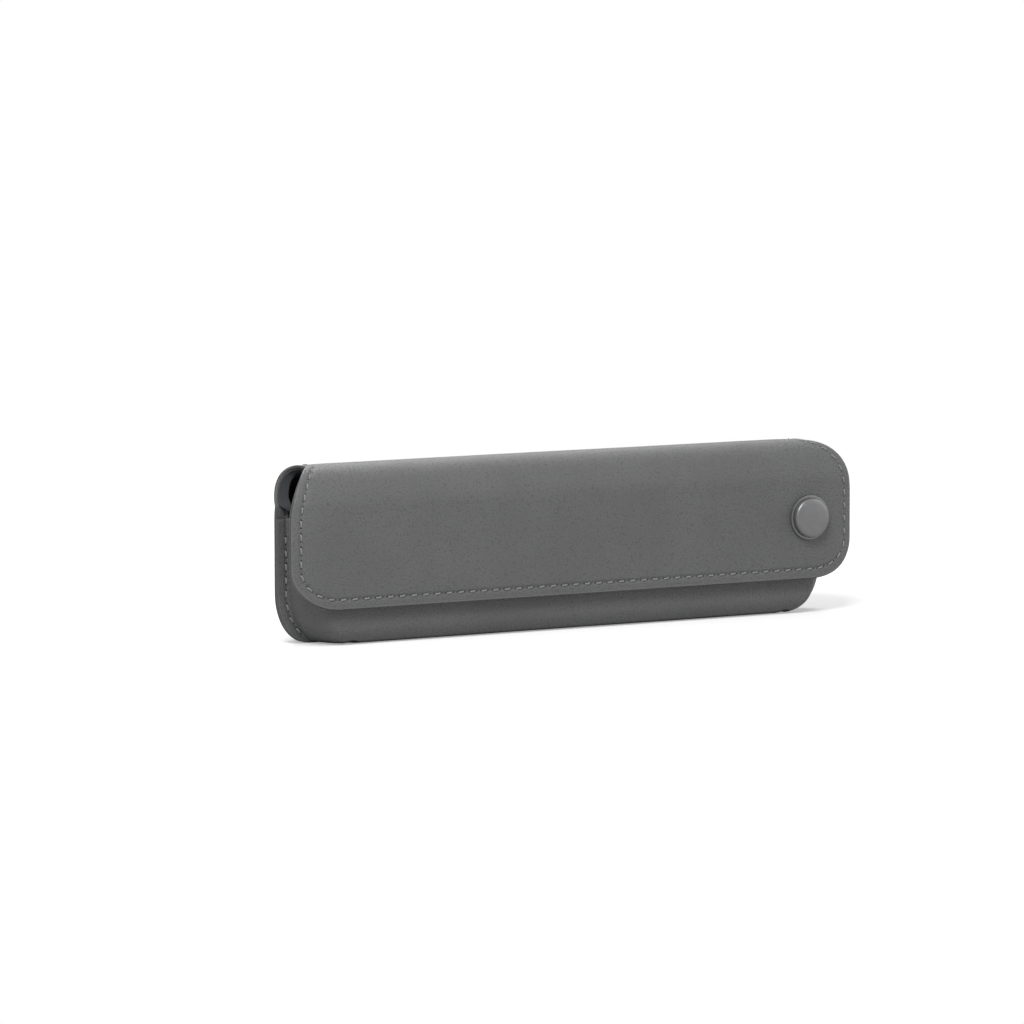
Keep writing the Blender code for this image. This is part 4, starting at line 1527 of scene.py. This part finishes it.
    def build_pouch_leather(self) -> None:
        """The outer sheet from the mouth round the base and up the back to the fold's middle."""
        sheet = Sheet(
            rows=self.pouch_rows(), insets=edge_insets((8 * MM, 0.45 * MM), (16 * MM, 0.9 * MM)),
            middle_step=2.6 * MM, outline=FORM.pouch_outline, form=FORM.pouch_point,
            thickness=FORM.leather, edges=(True, False), relief=self.drape,
            sewn=list(self.seam_runs().values()))
        piece = finished("pouch_shell", sheet.mesh(), LEATHER, ["pouch_leather", "fold_leather"])
        self.cut_vents(piece, self.vent_hole, self.vent_cut)
        self.bend(piece, FoldLine.BACK)
        sheet.declare()

    def build_flap_leather(self) -> None:
        """The outer sheet from the fold's middle to the flap's lower edge."""
        sheet = Sheet(
            rows=self.flap_rows(FORM.flap_length), insets=edge_insets((20 * MM, 0.5 * MM)),
            middle_step=2.0 * MM, outline=FORM.flap_outline, form=FORM.flap_point,
            thickness=FORM.leather, edges=(False, True), relief=self.flap_relief,
            sewn=[StitchRun(self.flap_places(), FORM.flap_point)])
        piece = finished("flap_shell", sheet.mesh(), LEATHER, ["fold_leather", "flap_leather"])
        self.cut_snap(piece, self.snap_cut)
        self.bend(piece, FoldLine.FRONT)
        sheet.declare()

    def lining_depth(self, s: float) -> float:
        """Depth of the lining: behind the boards in the pouch, on the leather in the fold.

        Args:
            s: Length along the sheet.

        Returns:
            The depth.
        """
        low, high = self.depth_run
        share = smooth(FORM.back_end + low, FORM.back_end + high, s)
        return FORM.board_depth + (self.plain_depth - FORM.board_depth) * share

    def lining_outline(self, s: float) -> float:
        """Half length of the pouch's lining: into the seams, and to the edge in the fold.

        Args:
            s: Length along the sheet.

        Returns:
            The half length.
        """
        low, high = self.inset_run
        share = smooth(FORM.back_end + low, FORM.back_end + high, s)
        return FORM.pouch_outline(s) - self.seam_inset + (self.seam_inset - self.cloth_inset) * share

    def build_pouch_cloth(self) -> None:
        """The pouch's lining, with the back half of the fold's."""
        sheet = Sheet(
            rows=[s for s in self.pouch_rows() if s >= self.end_gap],
            insets=edge_insets((0.5 * MM, 0.5 * MM), (9 * MM, 0.7 * MM)), middle_step=4 * MM,
            outline=self.lining_outline, form=FORM.pouch_point, top=self.lining_depth,
            thickness=FORM.lining, edges=(True, False), round_edge=self.cloth_edge)
        piece = finished("pouch_cloth", sheet.mesh(), LINING, ["pouch_lining", "fold_lining"])
        self.cut_vents(piece, self.cloth_vent_hole, self.cloth_vent_cut)
        self.bend(piece, FoldLine.BACK)
        sheet.declare()

    def build_flap_cloth(self) -> None:
        """The flap's lining, with the front half of the fold's."""
        sheet = Sheet(
            rows=self.flap_rows(FORM.flap_length - self.cloth_inset),
            insets=edge_insets((0.5 * MM, 0.5 * MM), (12 * MM, 0.8 * MM)), middle_step=4 * MM,
            outline=lambda s: FORM.flap_outline(s) - self.cloth_inset, form=FORM.flap_point,
            top=self.plain_depth, thickness=self.flap_cloth, edges=(False, True),
            round_edge=self.cloth_edge)
        piece = finished("flap_cloth", sheet.mesh(), LINING, ["fold_lining", "flap_lining"])
        self.cut_snap(piece, self.cloth_snap_cut)
        self.bend(piece, FoldLine.FRONT)
        sheet.declare()

    def build_seam_thread(self) -> None:
        """The thread of the side seams, on the front, and on the back up over the fold."""
        for (side, face), run in self.seam_runs().items():
            name, mesh = f"{face}_seam_thread_{side.word}", thread([run])
            node = f"seam_stitches_{face}_{side.word}"
            if face == "front":
                finished(name, mesh, THREAD, [node], Body.POUCH)
            else:
                piece = finished(name, mesh, THREAD, [node, f"fold_stitches_{side.word}"])
                self.bend(piece, FoldLine.BACK)

    def build_flap_thread(self) -> None:
        """The thread round the flap, on the leather and on the lining."""
        places = self.flap_places()
        inside = self.plain_depth + self.flap_cloth

        def lining_face(x: float, s: float, depth: float) -> Vector:
            """A point of the lining's face, from inside."""
            return FORM.flap_point(x, s, inside - depth)

        over = StitchRun(places, FORM.flap_point)
        under = StitchRun(places, lining_face, slant=-over.slant)
        piece = finished("flap_thread", thread([over, under]), THREAD, ["flap_stitches"])
        self.bend(piece, FoldLine.FRONT)

    def build(self) -> None:
        """Build the shell."""
        self.build_pouch_leather()
        self.build_flap_leather()
        self.build_pouch_cloth()
        self.build_flap_cloth()
        self.build_seam_thread()
        self.build_flap_thread()


def cut(piece: bpy.types.Object, mesh: bmesh.types.BMesh) -> None:
    """Cut a shape out of a piece.

    Args:
        piece: The piece.
        mesh: The shape, which is freed.
    """
    data = as_data("cutter", mesh)
    cutter = in_scene("cutter", data)
    change = piece.modifiers.new("hole", "BOOLEAN")
    change.operation = "DIFFERENCE"
    change.solver = "EXACT"
    change.object = cutter
    bake(piece)
    bpy.data.objects.remove(cutter)
    bpy.data.meshes.remove(data)


def bake(piece: bpy.types.Object) -> None:
    """Apply a piece's modifiers to its mesh.

    Args:
        piece: The piece.
    """
    evaluated = piece.evaluated_get(bpy.context.evaluated_depsgraph_get())
    data = bpy.data.meshes.new_from_object(evaluated)
    old = piece.data
    piece.modifiers.clear()
    piece.data = data
    bpy.data.meshes.remove(old)


# Turned pieces

def spun(profile: Iterable[tuple[float, float]], steps: int = 72) -> bmesh.types.BMesh:
    """Turn a profile of radius and height about the Z axis.

    Args:
        profile: The profile. It is closed unless it starts and ends on the axis.
        steps: Facets round the axis.

    Returns:
        A closed mesh.
    """
    points = list(profile)
    mesh = bmesh.new()
    verts = [mesh.verts.new((radius, 0, height)) for radius, height in points]
    edges = [mesh.edges.new(pair) for pair in zip(verts, verts[1:])]
    if points[0][0] > 0:
        edges.append(mesh.edges.new((verts[-1], verts[0])))
    bmesh.ops.spin(mesh, geom=verts + edges, cent=(0, 0, 0), axis=(0, 0, 1),
                   angle=2 * math.pi, steps=steps, use_merge=True, use_duplicate=False)
    bmesh.ops.remove_doubles(mesh, verts=mesh.verts[:], dist=0.000001)
    bmesh.ops.recalc_face_normals(mesh, faces=mesh.faces[:])
    return mesh


def on_snap_axis(mesh: bmesh.types.BMesh) -> bmesh.types.BMesh:
    """Lay a mesh on the snap's axis, its Z pointing out of the front.

    Args:
        mesh: A mesh turned about Z, which is moved.

    Returns:
        The mesh.
    """
    bmesh.ops.transform(
        mesh, verts=mesh.verts[:],
        matrix=Matrix.Translation((FORM.snap_x, FORM.centre_y, FORM.snap_z))
        @ Matrix.Rotation(math.pi / 2, 4, "X"))
    bmesh.ops.recalc_face_normals(mesh, faces=mesh.faces[:])
    return mesh


def snap_bar(radius: float, low: float, high: float) -> bmesh.types.BMesh:
    """A bar on the snap's axis, between two distances from the plane of the side seams."""
    return on_snap_axis(spun([(0, high), (radius, high), (radius, low), (0, low)], 48))


def eased(points: list[tuple[float, float]], radius: float, closed: bool) -> list[tuple[float, float]]:
    """Round the corners of a profile.

    Args:
        points: The profile's corners.
        radius: How far each corner is cut back, at most.
        closed: Whether the last corner joins the first.

    Returns:
        The profile with three points to a corner.
    """
    corners = [Vector(point) for point in points]
    found = []
    for index, corner in enumerate(corners):
        if not closed and index in (0, len(corners) - 1):
            found.append(tuple(corner))
            continue
        before, after = corners[index - 1], corners[(index + 1) % len(corners)]
        back, ahead = before - corner, after - corner
        cut = min(radius, back.length * 0.45, ahead.length * 0.45)
        first, last = corner + back.normalized() * cut, corner + ahead.normalized() * cut
        middle = (first + last) / 2 * 0.42 + corner * 0.58
        found += [tuple(first), tuple(middle), tuple(last)]
    return found


def vent_ring(side: Side, inner: float, outer: float,
              depths: tuple[float, float]) -> bmesh.types.BMesh:
    """A ring or disc laid over the form at a vent.

    Args:
        side: The end of the case.
        inner: The bore's radius, or 0 for a disc.
        outer: The outer radius.
        depths: Its two faces, as depths under the leather's face.

    Returns:
        The mesh, in the case's frame.
    """
    low, high = depths
    face = spread(inner, outer, 0.5 * MM)
    wall = spread(low, high, 0.5 * MM)
    profile = [(radius, high) for radius in face[:-1]]
    profile += [(outer, depth) for depth in reversed(wall)]
    profile += [(radius, low) for radius in reversed(face[:-1])]
    if inner > 0:
        profile += [(inner, depth) for depth in wall[1:-1]]
        profile = eased(profile, 0.18 * MM, True)
    mesh = spun(profile, 48)
    x, s = side.value * FORM.vent_x, FORM.base_start - FORM.vent_lift
    for vert in mesh.verts:
        vert.co = FORM.pouch_point(x + vert.co.x, s + vert.co.y, vert.co.z)
    bmesh.ops.recalc_face_normals(mesh, faces=mesh.faces[:])
    return mesh


@dataclass
class Snap:
    """The press snap that holds the flap shut.

    Its profiles are pairs of a radius and a distance from the plane of the side seams. The crown
    is the cap's outer face, as pairs of a radius and a drop from the face's middle.
    """

    face: float = 0.0241
    crown: tuple[tuple[float, float], ...] = (
        (0, 0), (0.003, 0.00004), (0.0055, 0.00014), (0.0069, 0.00032), (0.0075, 0.00075))
    cap_radius: float = 0.00775
    cap_foot: float = 0.0012
    cap_brim: float = 0.0004
    cap_wall: float = 0.0007
    cap_roof: float = 0.0011
    collar_radius: float = 0.0086
    collar_inner: float = 0.0058
    collar_top: float = 0.0009
    collar_seat: float = 0.0004
    socket_bore: float = 0.0023
    socket_wall: float = 0.0008
    socket_flange: float = 0.0014
    flange_sheet: float = 0.0006
    socket_roof: float = 0.0014
    roof_sheet: float = 0.0004
    groove: float = 0.0004
    grip_height: float = 0.0021
    wire: float = 0.0001
    wire_height: float = 0.0002
    stud_base: float = 0.0173
    stud_sink: float = 0.0003
    stud_height: float = 0.0030
    stud_head: float = 0.0020
    stud_neck: float = 0.0016
    stud_foot: float = 0.0045
    stud_bore: float = 0.0010
    rivet_stem: float = 0.0007
    rivet_radius: float = 0.0032

    def turned(self, name: str, profile: Pairs, ease: float, finish: Finish, body: Body,
               node: str) -> None:
        """Turn a profile about the snap's axis and dress it.

        Args:
            name: The piece's name.
            profile: Radius and distance from the plane of the side seams.
            ease: How far its corners are rounded.
            finish: Its finish.
            body: The body it rides on.
            node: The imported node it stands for.
        """
        mesh = on_snap_axis(spun(eased(profile, ease, profile[0][0] > 0), 96))
        finished(name, mesh, finish, [node], body, 30.0)

    def build_button(self) -> None:
        """The button that shows, and the ring under it."""
        leather, wide = FORM.flap_face, self.cap_radius
        low, roof, inner = leather + self.cap_foot, self.face - self.cap_roof, wide - self.cap_wall
        cap = [(radius, self.face - drop) for radius, drop in self.crown]
        cap += [(wide, low + self.cap_brim), (wide, low), (inner, low), (inner, roof), (0, roof)]
        self.turned("snap_button", cap, 0.0004, LACQUER, Body.FLAP, "snap_cap")
        seat, top = leather - self.collar_seat, leather + self.collar_top
        collar = [(self.collar_inner, seat), (self.collar_radius, seat),
                  (self.collar_radius, top), (self.collar_inner, top)]
        self.turned("snap_ring", collar, 0.0003, LACQUER, Body.FLAP, "snap_collar")

    def build_socket(self) -> None:
        """The cup that takes the stud, and the wire in its groove."""
        bore, middle = self.socket_bore, self.stud_base + self.grip_height
        wall, deep = bore + self.socket_wall, bore + self.socket_wall / 2
        flange = wall + self.socket_flange
        top = FORM.flap_face + self.collar_top
        under = top - self.flange_sheet
        foot, roof = self.stud_base + self.socket_wall, self.face - self.socket_roof
        ceiling = roof - self.roof_sheet
        cup = [(0, roof), (wall, roof), (wall, top), (flange, top), (flange, under), (wall, under),
               (wall, foot), (bore, foot), (bore, middle - self.groove),
               (deep, middle - self.groove), (deep, middle + self.groove),
               (bore, middle + self.groove), (bore, ceiling), (0, ceiling)]
        self.turned("snap_socket_cup", cup, 0.0001, STEEL, Body.FLAP, "snap_socket")
        wire = [(bore + self.wire + self.wire * math.cos(a), middle + self.wire_height * math.sin(a))
                for a in spread(0, 2 * math.pi, 0.55)[:-1]]
        self.turned("snap_wire", wire, 0.0, STEEL, Body.FLAP, "snap_spring")

    def build_stud(self) -> None:
        """The stud on the pouch's front, and its rivet inside the pouch."""
        base, tip = self.stud_base - self.stud_sink, self.stud_base + self.stud_height
        head, neck, foot, bore = self.stud_head, self.stud_neck, self.stud_foot, self.stud_bore
        stud = [(0, tip), (0.0013, tip), (head - 0.0001, tip - 0.0002), (head, tip - 0.0005),
                (neck, tip - 0.0010), (neck, base + 0.0010), (head, base + 0.0008),
                (foot - 0.0001, base + 0.0007), (foot, base), (bore, base), (bore, tip - 0.0006),
                (0, tip - 0.0006)]
        self.turned("snap_stud_head", stud, 0.0001, STEEL, Body.POUCH, "snap_stud")
        stem, wide, inside = self.rivet_stem, self.rivet_radius, FORM.inner_back
        rivet = [(0, tip - 0.0009), (stem, tip - 0.0009), (stem, inside), (wide, inside),
                 (wide, inside - 0.0006), (wide - 0.0006, inside - 0.0011), (0, inside - 0.0011)]
        self.turned("snap_rivet_head", rivet, 0.0002, STEEL, Body.POUCH, "snap_stud_rivet")

    def build(self) -> None:
        """Build the snap's six pieces."""
        self.build_button()
        self.build_socket()
        self.build_stud()


@dataclass
class Vents:
    """An eyelet at each end of the base's front edge, with its washer inside."""

    radius: float = 0.0038
    bore: float = 0.0024
    eyelet_depths: tuple[float, float] = (0.00012, 0.0029)
    washer_depths: tuple[float, float] = (0.00335, 0.0042)
    washer_over: float = 0.0001

    def build(self) -> None:
        """Build both vents."""
        for side in Side:
            eyelet = vent_ring(side, self.bore, self.radius, self.eyelet_depths)
            finished(f"vent_rim_{side.word}", eyelet, DARK_METAL, [f"vent_eyelet_{side.word}"],
                     Body.POUCH)
            washer = vent_ring(side, self.bore, self.radius + self.washer_over, self.washer_depths)
            finished(f"vent_disc_{side.word}", washer, DARK_METAL, [f"vent_washer_{side.word}"],
                     Body.POUCH)


@dataclass
class MouthBinding:
    """Ribbed tape folded over the front panel's upper edge, with its row of stitches."""

    tape: float = 0.0005
    edge: float = 0.0002
    outside: float = 0.0175
    inside: float = 0.0131
    height: float = 0.0045
    end_inset: float = 0.01436
    thread_inset: float = 0.0026
    thread_radius: float = 0.00028
    thread_lift: float = -0.00002
    pucker: float = 0.00012

    @property
    def half_length(self) -> float:
        """Half length of the tape."""
        return FORM.pouch_at(FORM.mouth) - self.end_inset

    @property
    def radius(self) -> float:
        """Radius of the tape's bend over the mouth's edge."""
        return (self.outside - self.inside) / 2

    @property
    def bend_end(self) -> float:
        """Length of the tape up to the end of its bend."""
        return self.height + math.pi * self.radius

    def form(self, x: float, s: float, depth: float) -> Vector:
        """A point of the tape.

        Args:
            x: Place along the case.
            s: Length along the tape's width, from its lower edge outside.
            depth: Depth under its face.

        Returns:
            The point, in the case's frame.
        """
        if s < self.height:
            y, z = depth - self.outside, FORM.mouth - self.height + s
        elif s < self.bend_end:
            centre = (-(self.outside + self.inside) / 2, FORM.mouth)
            y, z = on_arc(centre, self.radius - depth, math.pi - (s - self.height) / self.radius)
        else:
            y, z = -self.inside - depth, FORM.mouth - (s - self.bend_end)
        return Vector((x, y + FORM.centre_y, z))

    def build(self) -> None:
        """Build the tape and its thread."""
        end = self.bend_end + self.height
        rows = edge_insets((self.height, 0.5 * MM), (self.bend_end, 0.4 * MM),
                           (end - EDGE_INSETS[-1], 0.5 * MM))
        half = self.half_length
        reach = half - self.thread_inset
        line = [(x, self.height / 2) for x in spread(-reach, reach, 0.5 * MM)]
        inner = [(x, end - s) for x, s in line]
        runs = [StitchRun(places, self.form, radius=self.thread_radius, lift=self.thread_lift)
                for places in (line, inner)]
        sheet = Sheet(
            rows=joined(rows, [end - inset for inset in EDGE_INSETS]),
            insets=edge_insets((4 * MM, 0.6 * MM)), middle_step=2 * MM, outline=lambda s: half,
            form=self.form, thickness=self.tape, round_edge=self.edge, sewn=runs,
            pucker=self.pucker)
        tape = finished("mouth_tape", sheet.mesh(), TAPE, ["mouth_binding"], Body.POUCH)
        sheet.declare()
        finished("mouth_thread", thread(runs), THREAD, ["mouth_stitches"], Body.POUCH)


@dataclass
class Loop:
    """An elastic loop on the back lining, with a bar tack across each foot.

    Its reach is how far it stands out of the lining, its grip half of its height there, and its
    lean how far in degrees the tack's stitches turn to either side.
    """

    node: str
    place: float
    width: float
    reach: float
    grip: float
    middle: float = 0.02609
    foot: float = 0.0045
    band: float = 0.0011
    tack_inset: float = 0.0017
    tack_pitch: float = 0.00062
    tack_stitch: float = 0.0021
    tack_radius: float = 0.00024
    lean: float = 14.0

    def form(self, x: float, s: float, depth: float) -> Vector:
        """A point of the band.

        Args:
            x: Place across the band.
            s: Length from its lower end, where the whole bend counts as one.
            depth: Depth under its face.

        Returns:
            The point, in the case's frame.
        """
        back = FORM.inner_back
        if s < self.foot:
            z = self.middle - self.grip - self.foot + s * (self.foot - depth) / self.foot
            y = back - depth
        elif s > self.foot + 1:
            left = 2 * self.foot + 1 - s
            z = self.middle + self.grip + self.foot - left * (self.foot - depth) / self.foot
            y = back - depth
        else:
            angle = math.pi * (s - self.foot)
            y = back - depth - self.reach * math.sin(angle)
            z = self.middle - (self.grip + depth) * math.cos(angle)
        return Vector((self.place + x, y + FORM.centre_y, z))

    def build(self) -> None:
        """Build the band and its two tacks."""
        sheet = Sheet(
            rows=stretches(0, (self.foot, 0.5 * MM), (self.foot + 1, 0.025),
                           (2 * self.foot + 1, 0.5 * MM)),
            insets=edge_insets((2 * MM, 0.5 * MM)), middle_step=1.5 * MM,
            outline=lambda s: self.width / 2, form=self.form, thickness=self.band,
            edges=(False, False))
        sheet.border = self.sides
        mesh = sheet.mesh()
        self.lay_out(mesh)
        piece = finished(self.node + "_band", mesh, ELASTIC, [self.node], Body.POUCH)
        for end, word in ((-1, "lower"), (1, "upper")):
            self.build_tack(end, word)

    def sides(self) -> Pairs:
        """Points on the band's two long edges."""
        near = spread(0, 2 * self.foot + 1, 0.2 * MM)
        return [(side.value * self.width / 2, s) for s in near for side in Side]

    def lay_out(self, mesh: bmesh.types.BMesh) -> None:
        """Give the band a UV map in metres, ribs along its length.

        Args:
            mesh: The band, with the map of its sheet.
        """
        sheet = mesh.loops.layers.uv["sheet"]
        for face in mesh.faces:
            for loop in face.loops:
                x, s = loop[sheet].uv
                along = s if s < self.foot else self.foot + (s - self.foot) * 2.4 * self.reach
                loop[sheet].uv = (x, along)

    def build_tack(self, end: int, word: str) -> None:
        """A bar of close zigzag thread across one foot.

        Args:
            end: -1 for the lower foot, 1 for the upper.
            word: The foot's word in the node's name.
        """
        z = self.middle + end * (self.grip + self.band + (self.foot - self.band) / 2)
        y = FORM.inner_back - self.band + FORM.centre_y
        half = self.width / 2 - self.tack_inset
        stitch = StitchRun([], self.form, length=self.tack_stitch, radius=self.tack_radius).master()
        out = Matrix.Rotation(math.pi / 2, 4, "X")
        places = []
        for number, x in enumerate(spread(-half, half, self.tack_pitch)):
            turn = math.radians(90 + (self.lean if number % 2 else -self.lean))
            lean = Matrix.Rotation(turn, 4, "Z")
            places.append(Matrix.Translation((self.place + x, y, z)) @ out @ lean)
        finished(f"{self.node}_{word}_bartack", repeated(stitch, places), THREAD,
                 [f"{self.node}_{word}_tack"], Body.POUCH)


def dress_boards() -> None:
    """Give the stiffeners between leather and lining their fibrous board."""
    for name in ("front_board", "back_board", "base_board"):
        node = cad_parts[name]
        node.data.materials.clear()
        node.data.materials.append(CARD.material())
        LOG.info("%s: dressed", name)


@dataclass(frozen=True)
class Lamp:
    """A square lamp that points at the middle of the case, with its power in watts."""

    name: str
    place: tuple[float, float, float]
    size: float
    power: float
    aim_height: float = 0.03

    def build(self) -> None:
        """Build the lamp."""
        data = bpy.data.lights.new(self.name, "AREA")
        data.size = self.size
        data.energy = self.power
        lamp = in_scene(self.name, data)
        lamp.location = self.place
        aim = Vector((0, 0, self.aim_height)) - Vector(self.place)
        lamp.rotation_euler = aim.to_track_quat("-Z", "Y").to_euler()


@dataclass
class Studio:
    """Floor, lamps, world and camera.

    Angles are in degrees and the lens in millimetres. The floor fades to white over a run of
    distances from the case, and glows a little so that it looks as pale as the world behind it.
    """

    camera_place: tuple[float, float, float] = (-1.14820, -1.91989, 0.26113)
    azimuth: float = -30.4274
    elevation: float = 5.5544
    roll: float = -0.1433
    lens: float = 208.6
    world_light: float = 0.3
    floor_half: float = 6.0
    floor_grey: float = 0.80
    floor_glow: float = 0.35
    floor_fade: tuple[float, float] = (0.3, 0.8)
    lamps: tuple[Lamp, ...] = (Lamp("key", (-0.9, -1.0, 1.5), 0.8, 30.0),
                               Lamp("fill", (1.4, -0.9, 0.6), 1.2, 5.0),
                               Lamp("rim", (0.3, 1.2, 1.1), 0.9, 12.0))

    def build_camera(self) -> None:
        """A camera at the photograph's viewing angle."""
        data = bpy.data.cameras.new("camera")
        data.lens = self.lens
        data.sensor_width = 36.0
        data.clip_start, data.clip_end = 0.05, 50.0
        camera = in_scene("camera", data)
        side, rise = math.radians(self.azimuth), math.radians(self.elevation)
        back = Vector((math.sin(side) * math.cos(rise), -math.cos(side) * math.cos(rise),
                       math.sin(rise)))
        right = Vector((0, 0, 1)).cross(back).normalized()
        turn = Matrix((right, back.cross(right), back)).transposed()
        turn = turn @ Matrix.Rotation(math.radians(self.roll), 3, "Z")
        camera.matrix_world = Matrix.Translation(self.camera_place) @ turn.to_4x4()
        bpy.context.scene.camera = camera

    def build_world(self) -> None:
        """An even pale world, white behind the object."""
        world = bpy.data.worlds.new("world")
        bpy.context.scene.world = world
        world.use_nodes = True
        nodes = Nodes(world.node_tree)
        path = nodes.add("LightPath")
        seen = nodes.math("MAXIMUM", path.outputs["Is Camera Ray"], path.outputs["Is Glossy Ray"])
        strength = nodes.math("ADD", nodes.math("MULTIPLY", seen, 1 - self.world_light),
                              self.world_light)
        back = nodes.add("Background", {"Color": tint(WHITE), "Strength": strength})
        nodes.add("OutputWorld", {"Surface": back.outputs[0]})

    def floor_material(self) -> bpy.types.Material:
        """The floor's material: pale, white far away, and clear from below.

        Returns:
            The material.
        """
        made = bpy.data.materials.new("pale_floor")
        made.use_nodes = True
        nodes = Nodes(made.node_tree)
        seen = nodes.add("LightPath").outputs["Is Camera Ray"]
        grey = nodes.add("BsdfDiffuse", {"Color": tint(WHITE, self.floor_grey)})
        glow = nodes.add("Emission", {"Color": tint(WHITE),
                                      "Strength": nodes.math("MULTIPLY", seen, self.floor_glow)})
        lit = nodes.add("AddShader", {0: grey.outputs[0], 1: glow.outputs[0]})
        away = nodes.add("VectorMath", {0: Finish.place(nodes)}, operation="LENGTH")
        far = nodes.math("MULTIPLY", nodes.ramp(away.outputs["Value"], *self.floor_fade), seen)
        white = nodes.add("Emission", {"Color": tint(WHITE), "Strength": 1.0})
        lit = nodes.add("MixShader", {0: far, 1: lit.outputs[0], 2: white.outputs[0]})
        clear = nodes.add("BsdfTransparent")
        under = nodes.add("NewGeometry").outputs["Backfacing"]
        both = nodes.add("MixShader", {0: under, 1: lit.outputs[0], 2: clear.outputs[0]})
        nodes.add("OutputMaterial", {"Surface": both.outputs[0]})
        return made

    def build_floor(self) -> None:
        """A plain pale floor that keeps the object's shadow."""
        mesh = bmesh.new()
        bmesh.ops.create_grid(mesh, x_segments=1, y_segments=1, size=self.floor_half)
        data = as_data("floor", mesh)
        data.materials.append(self.floor_material())
        in_scene("floor", data)

    def build(self) -> None:
        """Build the studio."""
        bpy.context.scene.view_settings.view_transform = "Standard"
        self.build_camera()
        self.build_world()
        self.build_floor()
        for lamp in self.lamps:
            lamp.build()


def main() -> None:
    """Build the dressed case."""
    logging.basicConfig(level=logging.INFO, format="%(message)s")
    for part in (Studio(), Shell(), MouthBinding(), Snap(), Vents()):
        part.build()
    for side, place in ((Side.LEFT, -0.06607), (Side.RIGHT, 0.005985)):
        Loop(f"handle_loop_{side.word}", place, width=0.020, reach=0.0215, grip=0.011985).build()
    Loop("head_loop", 0.06799, width=0.012, reach=0.013, grip=0.00752).build()
    dress_boards()


if __name__ == "__main__":
    main()
